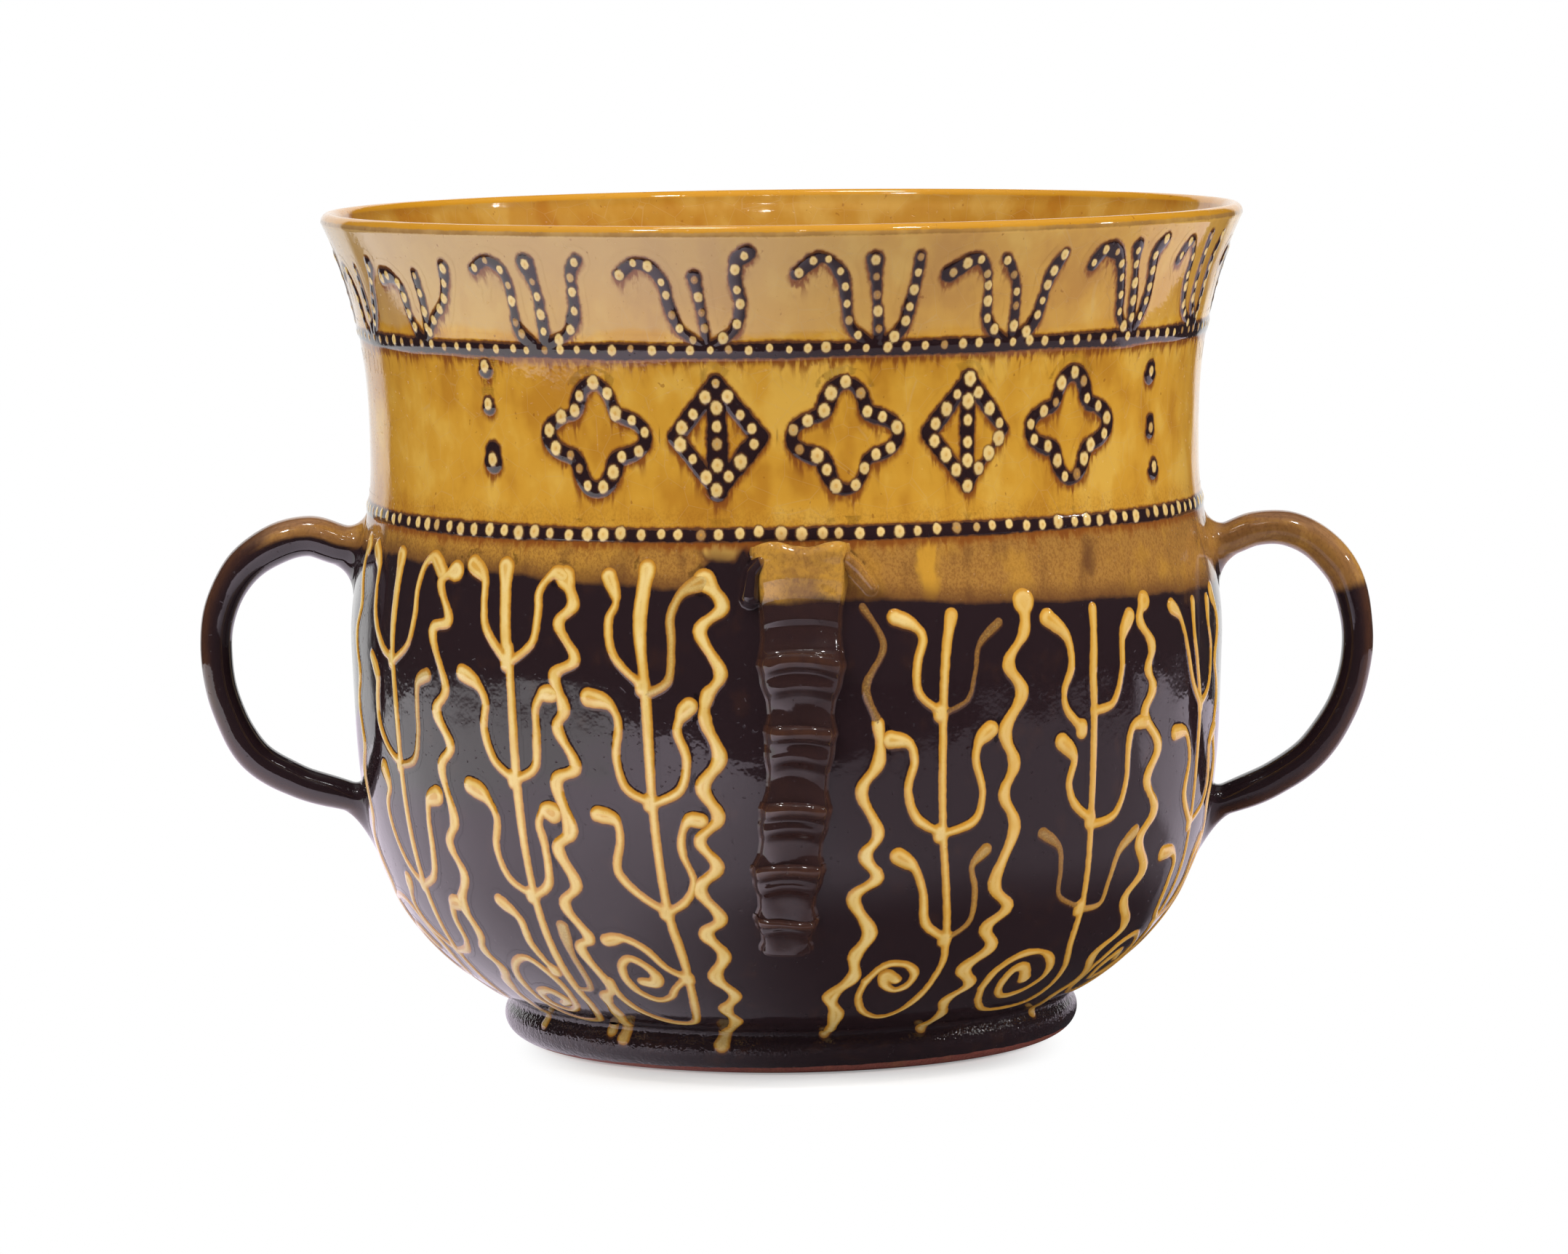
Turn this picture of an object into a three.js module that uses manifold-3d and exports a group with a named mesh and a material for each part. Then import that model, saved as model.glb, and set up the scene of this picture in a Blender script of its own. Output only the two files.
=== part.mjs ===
// Posset pot in slip-trailed, glazed red earthenware. Millimetres, +Z up, front towards -Y.
// The origin is the centre of the foot's resting face.

import * as THREE from 'three'
import { mergeVertices } from 'three/addons/utils/BufferGeometryUtils.js'
import Module from 'manifold-3d'

const wasm = await Module()
wasm.setup()

// Heights of the thrown pot, from the table up
const potHeight = 218
const footHeight = 10.5
const footRollHeight = 6
const bellyHeight = 105
const beltHeight = 2
const shoulderHeight = 44.5
const neckHeight = 2.5
const lipDrop = 2.5

// Outer radii, from the table up
const footEdgeRadius = 68.5
const footRollRadius = 75.8
const grooveRadius = 72
const bellyRadius = 114.7
const neckRadius = 108.8
const lipRadius = 120.7

// Curves of the wall: how fast the belly swells from the foot, and how late the rim flares
const bellyFullness = 4.1
const bellySpring = 0.88
const bellySlope = 0.08
const rimFlare = 2.5

// Thicknesses
const lipWall = 4.2
const bellyWall = 4.8
const lowWall = 6
const floorThickness = 5.5
const footRingWidth = 14
const innerFloorRadius = 50
const innerTurnHeight = 44

// Loop handles, the same reach on both sides
const handleReach = 155
const handleThickness = 8.4
const handleWidth = 12
const handleJointSwell = 1.45
const leftHandleTop = 131
const leftHandleFoot = 59
const rightHandleTop = 130
const rightHandleFoot = 57

// Pleated strap on the front and on the back
const strapTopWidth = 22.2
const strapFootWidth = 15
const strapCrest = 6.6
const strapValley = 3.4
const strapTopTurn = 2.3
const strapFootTurn = -0.2
const pleatLengths = [26, 17, 20, 17, 13.5, 9]

// Trailed slip: bands and jewelled strokes are wider than the strokes of the lower field
const clearance = 0.35
const bandWidth = 4.4
const bandRise = 1.1
const sprigWidth = 3.8
const motifWidth = 3.9
const slipWidth = 3.5
const slipRise = 1
const tipWidening = 1.4

// Places of the bands on the wall between the belly's widest ring and the lip, as shares of that wall
const lowerBandShare = 0.325
const upperBandShare = 0.732

// Colours
const honey = 0xc98a2c
const treacle = 0x241a1c
const slipCream = 0xdcab55
const darkSlip = 0x2a1c20
const redClay = 0x8a4a32

const material = {
  body: new THREE.MeshStandardMaterial({ color: honey, roughness: 0.15, metalness: 0 }),
  dark: new THREE.MeshStandardMaterial({ color: treacle, roughness: 0.12, metalness: 0 }),
  foot: new THREE.MeshStandardMaterial({ color: redClay, roughness: 0.4, metalness: 0 }),
  cream: new THREE.MeshStandardMaterial({ color: slipCream, roughness: 0.2, metalness: 0 }),
  slip: new THREE.MeshStandardMaterial({ color: darkSlip, roughness: 0.2, metalness: 0 }),
}

const frontTurn = 0
const backTurn = 180
const lathePlanes = 48

// Shape of the outer wall

const shoulderBottom = bellyHeight + beltHeight
const shoulderTop = shoulderBottom + shoulderHeight
const flareBottom = shoulderTop + neckHeight
const lipHeight = potHeight - lipDrop

function wallRadius(z) {
  if (z < bellyHeight) {
    const below = THREE.MathUtils.clamp(1 - (z - footHeight) / (bellyHeight - footHeight), 0, 1)
    const swell = (1 - below ** bellyFullness) ** bellySpring * (1 - bellySlope * below)
    return grooveRadius + (bellyRadius - grooveRadius) * swell
  }
  if (z < flareBottom) {
    const fall = THREE.MathUtils.smoothstep(z, shoulderBottom, shoulderTop)
    return bellyRadius + (neckRadius - bellyRadius) * fall
  }
  const share = THREE.MathUtils.clamp((z - flareBottom) / (lipHeight - flareBottom), 0, 1)
  return neckRadius + (lipRadius - neckRadius) * share ** rimFlare
}

// The wall as a list of rings with their distance up the wall, counted from the foot's groove
const wallRings = []
const ringCount = 600
for (let i = 0; i <= ringCount; i++) {
  const z = footHeight + (lipHeight - footHeight) * (i / ringCount) ** 2
  const radius = wallRadius(z)
  const last = wallRings[i - 1]
  const along = last ? last.along + Math.hypot(radius - last.radius, z - last.z) : 0
  wallRings.push({ z, radius, along })
}
const wallLength = wallRings[ringCount].along

function ringAt(along) {
  let high = wallRings.findIndex((ring) => ring.along >= along)
  if (high < 1) high = high < 0 ? ringCount : 1
  const a = wallRings[high - 1]
  const b = wallRings[high]
  const share = (along - a.along) / (b.along - a.along)
  const slope = new THREE.Vector2(b.radius - a.radius, b.z - a.z).normalize()
  const radius = a.radius + (b.radius - a.radius) * share
  const z = a.z + (b.z - a.z) * share
  return { radius, z, out: slope.y, up: -slope.x }
}

function alongAtHeight(z) {
  return wallRings.find((ring) => ring.z >= z).along
}

// Outer profile from the groove to the lip, closer rings where the belly turns into the foot
function outerProfile(growth) {
  const steps = 17
  const profile = []
  for (let i = 0; i <= steps; i++) {
    const ring = ringAt(wallLength * (i / steps) ** 1.15)
    profile.push([ring.radius + growth, ring.z])
  }
  return profile
}

// Radius of the body's straight facets, which stand proud of the curve where the wall is hollow
const facets = outerProfile(0)
function chordRadius(z) {
  const high = Math.max(facets.findIndex(([, height]) => height >= z), 1)
  const [lowRadius, lowHeight] = facets[high - 1]
  const [highRadius, highHeight] = facets[high]
  return THREE.MathUtils.mapLinear(z, lowHeight, highHeight, lowRadius, highRadius)
}

// A point that stands off the wall: turn in degrees from the front, distance up the wall, lift
function onWall(turn, along, lift) {
  const ring = ringAt(along)
  const radius = Math.max(ring.radius, chordRadius(ring.z)) + ring.out * lift
  const angle = THREE.MathUtils.degToRad(turn)
  return new THREE.Vector3(radius * Math.sin(angle), -radius * Math.cos(angle), ring.z + ring.up * lift)
}

// Degrees of turn that a width in millimetres takes on the wall
function turnFor(width, along) {
  return THREE.MathUtils.radToDeg(width / ringAt(along).radius)
}

// Solids

function volumeOf(geometry) {
  const place = geometry.getAttribute('position')
  const index = geometry.getIndex().array
  const [a, b, c] = [new THREE.Vector3(), new THREE.Vector3(), new THREE.Vector3()]
  let volume = 0
  for (let i = 0; i < index.length; i += 3) {
    a.fromBufferAttribute(place, index[i])
    b.fromBufferAttribute(place, index[i + 1])
    c.fromBufferAttribute(place, index[i + 2])
    volume += a.dot(b.cross(c)) / 6
  }
  return volume
}

// Merges shared corners, drops flat triangles and turns the faces outwards
function closed(geometry) {
  geometry.deleteAttribute('normal')
  geometry.deleteAttribute('uv')
  const merged = mergeVertices(geometry, 1e-4)
  const index = Array.from(merged.getIndex().array)
  const kept = []
  for (let i = 0; i < index.length; i += 3) {
    const [a, b, c] = index.slice(i, i + 3)
    if (a !== b && b !== c && c !== a) kept.push(a, b, c)
  }
  merged.setIndex(kept)
  if (volumeOf(merged) < 0) merged.setIndex(kept.reverse())
  return merged
}

function toSolid(geometry) {
  const shape = closed(geometry)
  return new wasm.Manifold(new wasm.Mesh({
    numProp: 3,
    vertProperties: new Float32Array(shape.getAttribute('position').array),
    triVerts: new Uint32Array(shape.getIndex().array),
  }))
}

function toGeometry(solid) {
  const mesh = solid.getMesh()
  const geometry = new THREE.BufferGeometry()
  geometry.setAttribute('position', new THREE.BufferAttribute(mesh.vertProperties, 3))
  geometry.setIndex(Array.from(mesh.triVerts))
  geometry.computeVertexNormals()
  return geometry
}

function joined(geometries) {
  return toGeometry(geometries.map(toSolid).reduce((whole, next) => whole.add(next)))
}

// Skins a row of rings that all have the same number of corners; a loop has no end caps
function loft(rings, isLoop = false) {
  const sides = rings[0].length
  const corners = rings.flat().flatMap((corner) => corner.toArray())
  const index = []
  const spans = isLoop ? rings.length : rings.length - 1
  for (let i = 0; i < spans; i++) {
    const here = i * sides
    const next = ((i + 1) % rings.length) * sides
    for (let k = 0; k < sides; k++) {
      const l = (k + 1) % sides
      index.push(here + k, here + l, next + l, here + k, next + l, next + k)
    }
  }
  if (!isLoop) {
    const end = (rings.length - 1) * sides
    for (let k = 1; k < sides - 1; k++) {
      index.push(0, k + 1, k, end, end + k, end + k + 1)
    }
  }
  const geometry = new THREE.BufferGeometry()
  geometry.setAttribute('position', new THREE.Float32BufferAttribute(corners, 3))
  geometry.setIndex(index)
  return geometry
}

function lathe(profile) {
  const points = profile.map(([radius, z]) => new THREE.Vector2(radius, z))
  return closed(new THREE.LatheGeometry(points, lathePlanes).rotateX(Math.PI / 2))
}

// Thrown body: the outer wall, a round lip and the smooth inside

function wallThickness(z) {
  const high = THREE.MathUtils.smoothstep(z, bellyHeight, lipHeight)
  const low = 1 - THREE.MathUtils.smoothstep(z, footHeight, bellyHeight)
  return bellyWall + (lipWall - bellyWall) * high + (lowWall - bellyWall) * low
}

function bodyGeometry() {
  const outside = outerProfile(0)
  const lip = []
  const lipSteps = 4
  for (let i = 1; i <= lipSteps; i++) {
    const angle = Math.PI * i / (lipSteps + 1)
    lip.push([
      lipRadius - lipWall / 2 + lipWall / 2 * Math.cos(angle),
      lipHeight + lipDrop * Math.sin(angle),
    ])
  }
  lip.splice(lipSteps / 2, 0, [lipRadius - lipWall / 2, potHeight])
  const inside = []
  const innerSteps = 8
  for (let i = 0; i <= innerSteps; i++) {
    const z = lipHeight + (innerTurnHeight - lipHeight) * i / innerSteps
    inside.push([wallRadius(z) - wallThickness(z), z])
  }
  const turnRadius = inside[innerSteps][0]
  const floorHeight = footHeight + floorThickness
  const turnSteps = 4
  for (let i = 1; i <= turnSteps; i++) {
    const angle = Math.PI / 2 * i / turnSteps
    inside.push([
      innerFloorRadius + (turnRadius - innerFloorRadius) * Math.cos(angle),
      innerTurnHeight - (innerTurnHeight - floorHeight) * Math.sin(angle),
    ])
  }
  return lathe([[0, footHeight], ...outside, ...lip, ...inside, [0, floorHeight]])
}

// Foot: a roll with a bare clay edge, hollowed underneath
function footGeometry() {
  const lowRise = footRollRadius - footEdgeRadius
  const highRise = footRollRadius - grooveRadius
  const profile = [[footEdgeRadius, 0]]
  const steps = 3
  for (let i = 1; i <= steps; i++) {
    const angle = Math.PI / 2 * i / steps
    profile.push([footEdgeRadius + lowRise * Math.sin(angle), footRollHeight * (1 - Math.cos(angle))])
  }
  for (let i = 1; i <= steps; i++) {
    const angle = Math.PI / 2 * i / steps
    profile.push([
      grooveRadius + highRise * Math.cos(angle),
      footRollHeight + (footHeight - footRollHeight) * Math.sin(angle),
    ])
  }
  const bore = footEdgeRadius - footRingWidth
  return lathe([...profile, [bore, footHeight], [bore, 0], [footEdgeRadius, 0]])
}

// A solid that fills the wall's outer shape, grown by the clearance, to cut what is luted on
function wallCutter() {
  return toSolid(lathe([[0, footHeight], ...outerProfile(clearance), [0, lipHeight]]))
}

// Loop handle: an oval rod that springs from the shoulder, turns over and runs down to the belly
function handleGeometry(side, topHeight, footPlace) {
  const drop = topHeight - footPlace
  const axisReach = handleReach - handleThickness / 2
  const topRadius = wallRadius(topHeight)
  const footWall = wallRadius(footPlace)
  const out = axisReach - topRadius
  const route = [
    [topRadius - 4, topHeight - 1],
    [topRadius + 0.32 * out, topHeight + 1.2],
    [topRadius + 0.66 * out, topHeight - 2],
    [topRadius + 0.91 * out, topHeight - 0.17 * drop],
    [axisReach, topHeight - 0.385 * drop],
    [topRadius + 0.93 * out, topHeight - 0.6 * drop],
    [topRadius + 0.66 * out, topHeight - 0.8 * drop],
    [topRadius + 0.36 * out, topHeight - 0.91 * drop],
    [footWall - 4, footPlace - 2],
  ]
  const axis = new THREE.CatmullRomCurve3(route.map(([x, z]) => new THREE.Vector3(side * x, 0, z)))
  const steps = 17
  const sides = 10
  const rings = []
  for (let i = 0; i <= steps; i++) {
    const share = i / steps
    const centre = axis.getPointAt(share)
    const tangent = axis.getTangentAt(share)
    const across = new THREE.Vector3(0, 1, 0)
    const outward = new THREE.Vector3().crossVectors(tangent, across)
    const fromEnd = Math.min(share, 1 - share)
    const swell = 1 + (handleJointSwell - 1) * (1 - THREE.MathUtils.smoothstep(fromEnd, 0, 0.16))
    const ring = []
    for (let k = 0; k < sides; k++) {
      const angle = 2 * Math.PI * k / sides
      ring.push(centre.clone()
        .addScaledVector(outward, swell * handleThickness / 2 * Math.cos(angle))
        .addScaledVector(across, swell * handleWidth / 2 * Math.sin(angle)))
    }
    rings.push(ring)
  }
  return toGeometry(toSolid(loft(rings)).subtract(wallCutter()))
}

// Pleated strap: each pleat starts with a proud lip and sinks towards the next one
function strapGeometry(turn) {
  const length = pleatLengths.reduce((sum, pleat) => sum + pleat)
  const top = lowerBand - bandWidth / 2 - 2 * clearance
  const sunk = 1.5
  const rings = []
  const addRing = (along, lift) => {
    const share = (top - along) / length
    const width = THREE.MathUtils.lerp(strapTopWidth, strapFootWidth, share)
    const centre = turn + THREE.MathUtils.lerp(strapTopTurn, strapFootTurn, share)
    const half = turnFor(width / 2, along)
    const face = 0.72 * half
    rings.push([
      onWall(centre - half, along, -sunk),
      onWall(centre - half, along, 0.55 * lift),
      onWall(centre - face, along, 0.94 * lift),
      onWall(centre, along, lift),
      onWall(centre + face, along, 0.94 * lift),
      onWall(centre + half, along, 0.55 * lift),
      onWall(centre + half, along, -sunk),
      onWall(centre, along, -sunk),
    ])
  }
  let along = top
  for (const pleat of pleatLengths) {
    addRing(along, strapValley)
    addRing(along - 0.08 * pleat, strapCrest - 0.4)
    addRing(along - 0.2 * pleat, strapCrest)
    addRing(along - 0.5 * pleat, 0.5 * (strapCrest + strapValley))
    along -= pleat
  }
  addRing(along, 0.5 * strapValley)
  return toGeometry(toSolid(loft(rings)).subtract(wallCutter()))
}

// Slip trailed on the wall

const bellyAlong = alongAtHeight(bellyHeight)
const lowerBand = bellyAlong + lowerBandShare * (wallLength - bellyAlong)
const upperBand = bellyAlong + upperBandShare * (wallLength - bellyAlong)

// The pattern is laid out in units on three fields, each this many units high, and grows with them
const lowerFieldUnits = 145
const friezeUnits = 46
const topFieldUnits = 30

const lowerField = { foot: 0, unit: lowerBand / lowerFieldUnits }
const frieze = { foot: lowerBand, unit: (upperBand - lowerBand) / friezeUnits }
const topField = { foot: upperBand, unit: (wallLength - upperBand) / topFieldUnits }

// A place on the wall, [turn, distance up the wall], from a turn and an offset across and up a field
function placeIn(field, turn, across, height) {
  const along = field.foot + height * field.unit
  return [turn + turnFor(across * field.unit, along), along]
}

// A low ridge along places on the wall, each [turn, distance up the wall, share of the width]
function ridge(places, width, rise, isLoop = false) {
  const rings = places.map(([turn, along, widening], i) => {
    const last = places.length - 1
    const before = places[isLoop ? (i + last) % (last + 1) : Math.max(i - 1, 0)]
    const after = places[isLoop ? (i + 1) % (last + 1) : Math.min(i + 1, last)]
    const centre = onWall(turn, along, clearance)
    const crest = onWall(turn, along, clearance + rise)
    const normal = crest.clone().sub(centre).normalize()
    const tangent = onWall(after[0], after[1], 0).sub(onWall(before[0], before[1], 0))
    const side = new THREE.Vector3().crossVectors(normal, tangent).setLength(widening * width / 2)
    return [centre.clone().add(side), crest, centre.clone().sub(side)]
  })
  return loft(rings, isLoop)
}

// A stroke drawn as a smooth curve through a few places, with a thicker tip at its far end
function stroke(places, width, rise, steps) {
  const curve = new THREE.SplineCurve(places.map(([turn, along]) => new THREE.Vector2(turn, along)))
  const samples = []
  for (let i = 0; i <= steps; i++) {
    const share = i / steps
    const place = curve.getPoint(share)
    const tip = THREE.MathUtils.smoothstep(share, 0.65, 0.9)
    samples.push([place.x, place.y, 1 + (tipWidening - 1) * tip])
  }
  return ridge(samples, width, rise)
}

function placesIn(field, turn, offsets) {
  return offsets.map(([across, height]) => placeIn(field, turn, across, height))
}

function bandPlaces(along) {
  const places = []
  for (let i = 0; i < lathePlanes; i++) {
    places.push([360 * i / lathePlanes, along, 1])
  }
  return places
}

// Sprigs that grow from the upper band: turn, lean of the middle stroke, reach of the hook
// to the left, reach to the right, rise
const sprigs = [
  [-89, -2, 18, 9, 22],
  [-70, -1, 14, 12, 19],
  [-54, 3, 15.5, 16.5, 19],
  [-33.6, 2, 14.5, 16.5, 22],
  [-9.4, -1.5, 22, 10, 23],
  [11.8, -1, 21, 10.5, 23],
  [31.4, -7, 21.5, 11, 21.5],
  [51.8, -5.5, 20.5, 5, 23],
  [71, -7.5, 23, 3, 23],
]

function sprigStrokes(turn, lean, hook, right, rise) {
  const rootSpread = 1.6
  const draw = (offsets, steps) => stroke(
    placesIn(topField, turn, offsets), sprigWidth, bandRise, steps)
  return [
    draw([[-rootSpread, 0], [-3.5, 2.5], [-0.35 * hook, 0.42 * rise], [-0.46 * hook, 0.76 * rise],
      [-0.66 * hook, rise], [-0.86 * hook, 0.98 * rise], [-hook, 0.85 * rise]], 6),
    draw([[0, 0], [0.45 * lean, 0.5 * rise], [lean, 0.93 * rise]], 2),
    draw([[rootSpread, 0], [0.55 * right, 0.11 * rise], [0.81 * right, 0.35 * rise],
      [0.84 * right, 0.7 * rise], [right, rise]], 3),
  ]
}

function upperBorder() {
  const strokes = [ridge(bandPlaces(upperBand), bandWidth, bandRise, true)]
  for (const halfTurn of [frontTurn, backTurn]) {
    for (const [turn, lean, hook, right, rise] of sprigs) {
      strokes.push(...sprigStrokes(turn + halfTurn, lean, hook, right, rise))
    }
  }
  return joined(strokes)
}

// Wavy lines of the lower field: turn at the top and bottom, top, bottom, waves, swing in degrees
const waves = [
  [-76.5, -83.5, 137, 12, 7, 1.3],
  [-48.7, -56, 134, 8, 7.5, 1.3],
  [-28.8, -31.2, 136, 6, 7, 1.2],
  [-9.3, -10.8, 133.5, 6, 7.5, 1.15],
  [11, 5.5, 126, 5, 6.5, 1.1],
  [30.3, 27, 125, 5, 7, 1.2],
  [53.5, 56.5, 122, 8, 7, 1.4],
  [79, 80.5, 122, 10, 7, 1.3],
]

function waveGeometry(turn, [topTurn, footTurn, top, foot, count, swing]) {
  const stepsPerWave = 3.5
  const steps = Math.round(count * stepsPerWave)
  const places = []
  for (let i = 0; i <= steps; i++) {
    const share = i / steps
    const sway = swing * Math.cos(2 * Math.PI * count * share)
    const middle = THREE.MathUtils.lerp(topTurn, footTurn, share ** 2.5)
    const place = placeIn(lowerField, turn + middle + sway, 0, THREE.MathUtils.lerp(top, foot, share))
    places.push([...place, 1])
  }
  return closed(ridge(places, slipWidth, slipRise))
}

// Stems of the lower field: top of the middle stroke, cups down the stem and a spiral at its foot.
// A cup is [turn, height, left reach, left rise, left hook, right reach, right rise, right hook],
// a spiral [turn, height, radius where the stem enters it, turns, end radius, stretch upwards]
const stems = [
  {
    top: [-61.7, 137],
    cups: [
      [-61.2, 110.5, 13, 26, 4, 10, 25, 5],
      [-59.3, 82.5, 13, 25, 1.5, 9, 24, 2.5],
      [-59.8, 52.5, 11, 28, 1, 9.5, 24, 1.5],
    ],
    spiral: [-71, 28, 13, 1.9, 3, 1.1],
  },
  {
    top: [-38.7, 138],
    cups: [
      [-37.4, 112, 9, 25, 4, 6.5, 23, 2],
      [-37.4, 83, 10, 26, 4, 7, 22, 1],
      [-36.4, 53, 10, 28, 4, 5.5, 22, 0],
      [-36, 24, 6, 26, 3, 4, 21, -1],
    ],
    spiral: [-44, 17, 12.3, 1.9, 3, 0.75],
  },
  {
    top: [-17.9, 137],
    cups: [
      [-18, 107.5, 9, 27, 1, 6.5, 25, 1.5],
      [-17.5, 79, 8.5, 26, 5, 7.5, 24, 0],
      [-16.3, 51.5, 11, 25, 3, 5.5, 24, -1],
    ],
    spiral: [-21.5, 26, 10.5, 2.1, 2.5, 1.2],
  },
  {
    top: [21.2, 124],
    cups: [
      [19.6, 100, 7, 24.5, 3, 8, 22, 4],
      [19.8, 71, 8.5, 23.5, 2, 9.5, 24, 1],
      [21.8, 42, 9, 23.5, 4, 6, 23.5, 0.5],
    ],
    spiral: [16.3, 25, 11, 1.9, 3, 0.95],
  },
  {
    top: [42.5, 123],
    cups: [
      [43, 97, 11, 25, 4, 8.5, 23.5, 3],
      [42.8, 70, 8.5, 21, 2, 10, 23.5, 2.5],
      [44.2, 46.5, 10, 22, 6, 8.5, 18, 4],
    ],
    spiral: [40, 24, 14.5, 2.1, 2, 0.9],
  },
  {
    top: [66.8, 122],
    cups: [
      [68.8, 94, 9, 27, 7, 6.5, 26, 1],
      [68.8, 65, 9, 23, 6, 7.5, 22, 2],
      [70.6, 37, 9, 21, 6, 6.5, 18, 1],
    ],
    spiral: [66.7, 19, 10, 1.8, 3, 0.95],
  },
]

function cupArm(turn, height, side, reach, rise, hook) {
  const offsets = [
    [0, 0], [0.6 * reach, 0.07 * rise], [0.96 * reach, 0.34 * rise],
    [0.94 * reach, 0.7 * rise], [reach + 0.35 * hook, 0.95 * rise], [reach + hook, rise],
  ].map(([across, up]) => [side * across, height + up])
  return stroke(placesIn(lowerField, turn, offsets), slipWidth, slipRise, 4)
}

function spiralPlaces([turn, height, radius, turns, endRadius, stretch]) {
  const stepsPerTurn = 7.5
  const steps = Math.round(turns * stepsPerTurn)
  const places = []
  for (let i = 0; i <= steps; i++) {
    const angle = 2 * Math.PI * turns * i / steps
    const reach = THREE.MathUtils.lerp(radius, endRadius, (i / steps) ** 0.85)
    const fall = stretch * reach * Math.sin(angle)
    places.push([...placeIn(lowerField, turn, reach * Math.cos(angle), height - fall), 1])
  }
  return places
}

function stemGeometry(halfTurn, { top, cups, spiral }) {
  const coil = spiralPlaces(spiral)
  const joints = [top, ...cups].map(
    ([turn, height]) => new THREE.Vector2(...placeIn(lowerField, turn, 0, height)))
  const enter = new THREE.Vector2(coil[0][0], coil[0][1])
  const trunk = new THREE.SplineCurve([...joints, enter]).getPoints(joints.length * 3)
  const route = [...trunk.slice(0, -1).map((place) => [place.x, place.y, 1]), ...coil]
  const strokes = [ridge(route, slipWidth, slipRise)]
  for (const [turn, height, leftReach, leftRise, leftHook, rightReach, rightRise, rightHook] of cups) {
    strokes.push(cupArm(turn, height, -1, leftReach, leftRise, leftHook))
    strokes.push(cupArm(turn, height, 1, rightReach, rightRise, rightHook))
  }
  const solid = strokes.map(toSolid).reduce((whole, next) => whole.add(next))
  return toGeometry(solid.rotate([0, 0, halfTurn]))
}

// Frieze between the bands: quatrefoils and barred lozenges by turns
const motifTurns = [-25.3, -8.7, 8, 24.7, 41.3]
const motifHeight = 24.5
const quatrefoilRadius = 10.8
const quatrefoilLobes = 0.24
const lozengeHalfWidth = 10.5
const lozengeHalfHeight = 13.5

function quatrefoil(turn) {
  const steps = 24
  const offsets = []
  for (let i = 0; i < steps; i++) {
    const angle = 2 * Math.PI * i / steps
    const radius = quatrefoilRadius * (1 + quatrefoilLobes * Math.cos(4 * angle))
    offsets.push([radius * Math.sin(angle), motifHeight + radius * Math.cos(angle)])
  }
  const places = placesIn(frieze, turn, offsets).map((place) => [...place, 1])
  return closed(ridge(places, motifWidth, bandRise, true))
}

function lozenge(turn) {
  const corners = [
    [0, lozengeHalfHeight], [lozengeHalfWidth, 0], [0, -lozengeHalfHeight], [-lozengeHalfWidth, 0],
  ]
  const stepsPerSide = 3
  const outline = corners.flatMap((from, i) => {
    const to = corners[(i + 1) % corners.length]
    return Array.from({ length: stepsPerSide }, (_, k) => [
      THREE.MathUtils.lerp(from[0], to[0], k / stepsPerSide),
      motifHeight + THREE.MathUtils.lerp(from[1], to[1], k / stepsPerSide),
    ])
  })
  const bar = [-1, -0.5, 0, 0.5, 1].map((share) => [0, motifHeight + share * lozengeHalfHeight])
  const draw = (offsets, isLoop) => {
    const places = placesIn(frieze, turn, offsets).map((place) => [...place, 1])
    return ridge(places, motifWidth, bandRise, isLoop)
  }
  return joined([draw(outline, true), draw(bar, false)])
}

// Drop-shaped dots in columns of three: turn, height in the frieze, width, length
const dots = [
  [-42.3, 41, 5.2, 5.2],
  [-42.3, 31.5, 4.8, 5.6],
  [-41.9, 18.5, 6.4, 9.2],
  [58, 36.5, 6, 7.2],
  [58.7, 22.5, 4.8, 7.2],
  [59.7, 11.5, 6, 6.6],
]

function dotGeometry([turn, height, width, length], halfTurn) {
  const sides = 8
  const ring = (share, lift) => {
    const corners = []
    for (let k = 0; k < sides; k++) {
      const angle = 2 * Math.PI * k / sides
      const across = share * width / 2 * Math.cos(angle)
      const up = share * length / 2 * Math.sin(angle)
      corners.push(onWall(...placeIn(frieze, turn + halfTurn, across, height + up), lift))
    }
    return corners
  }
  const brow = 0.8 * bandRise
  return closed(loft([
    ring(1, clearance), ring(0.8, clearance + brow), ring(0.35, clearance + bandRise)]))
}

// The pot

const pot = new THREE.Group()

function add(name, geometry, finish) {
  const mesh = new THREE.Mesh(geometry, finish)
  mesh.name = name
  pot.add(mesh)
}

add('body', bodyGeometry(), material.body)
add('foot_ring', footGeometry(), material.foot)
add('handle_left', handleGeometry(-1, leftHandleTop, leftHandleFoot), material.dark)
add('handle_right', handleGeometry(1, rightHandleTop, rightHandleFoot), material.dark)
add('front_strap', strapGeometry(frontTurn), material.dark)
add('back_strap', strapGeometry(backTurn), material.dark)
add('upper_border', upperBorder(), material.slip)
add('lower_border', closed(ridge(bandPlaces(lowerBand), bandWidth, bandRise, true)), material.slip)

let stemNumber = 1
let waveNumber = 1
let motifNumber = 1
let dotNumber = 1
for (const halfTurn of [frontTurn, backTurn]) {
  for (const stem of stems) {
    add(`stem_${stemNumber++}`, stemGeometry(halfTurn, stem), material.cream)
  }
  for (const wave of waves) {
    add(`wave_${waveNumber++}`, waveGeometry(halfTurn, wave), material.cream)
  }
  for (const [i, turn] of motifTurns.entries()) {
    const motif = i % 2 === 0 ? quatrefoil : lozenge
    add(`motif_${motifNumber++}`, motif(turn + halfTurn), material.slip)
  }
  for (const dot of dots) {
    add(`dot_${dotNumber++}`, dotGeometry(dot, halfTurn), material.slip)
  }
}

export default pot
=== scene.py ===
import math

import bpy
import numpy as np
from mathutils import Matrix, Vector


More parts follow.
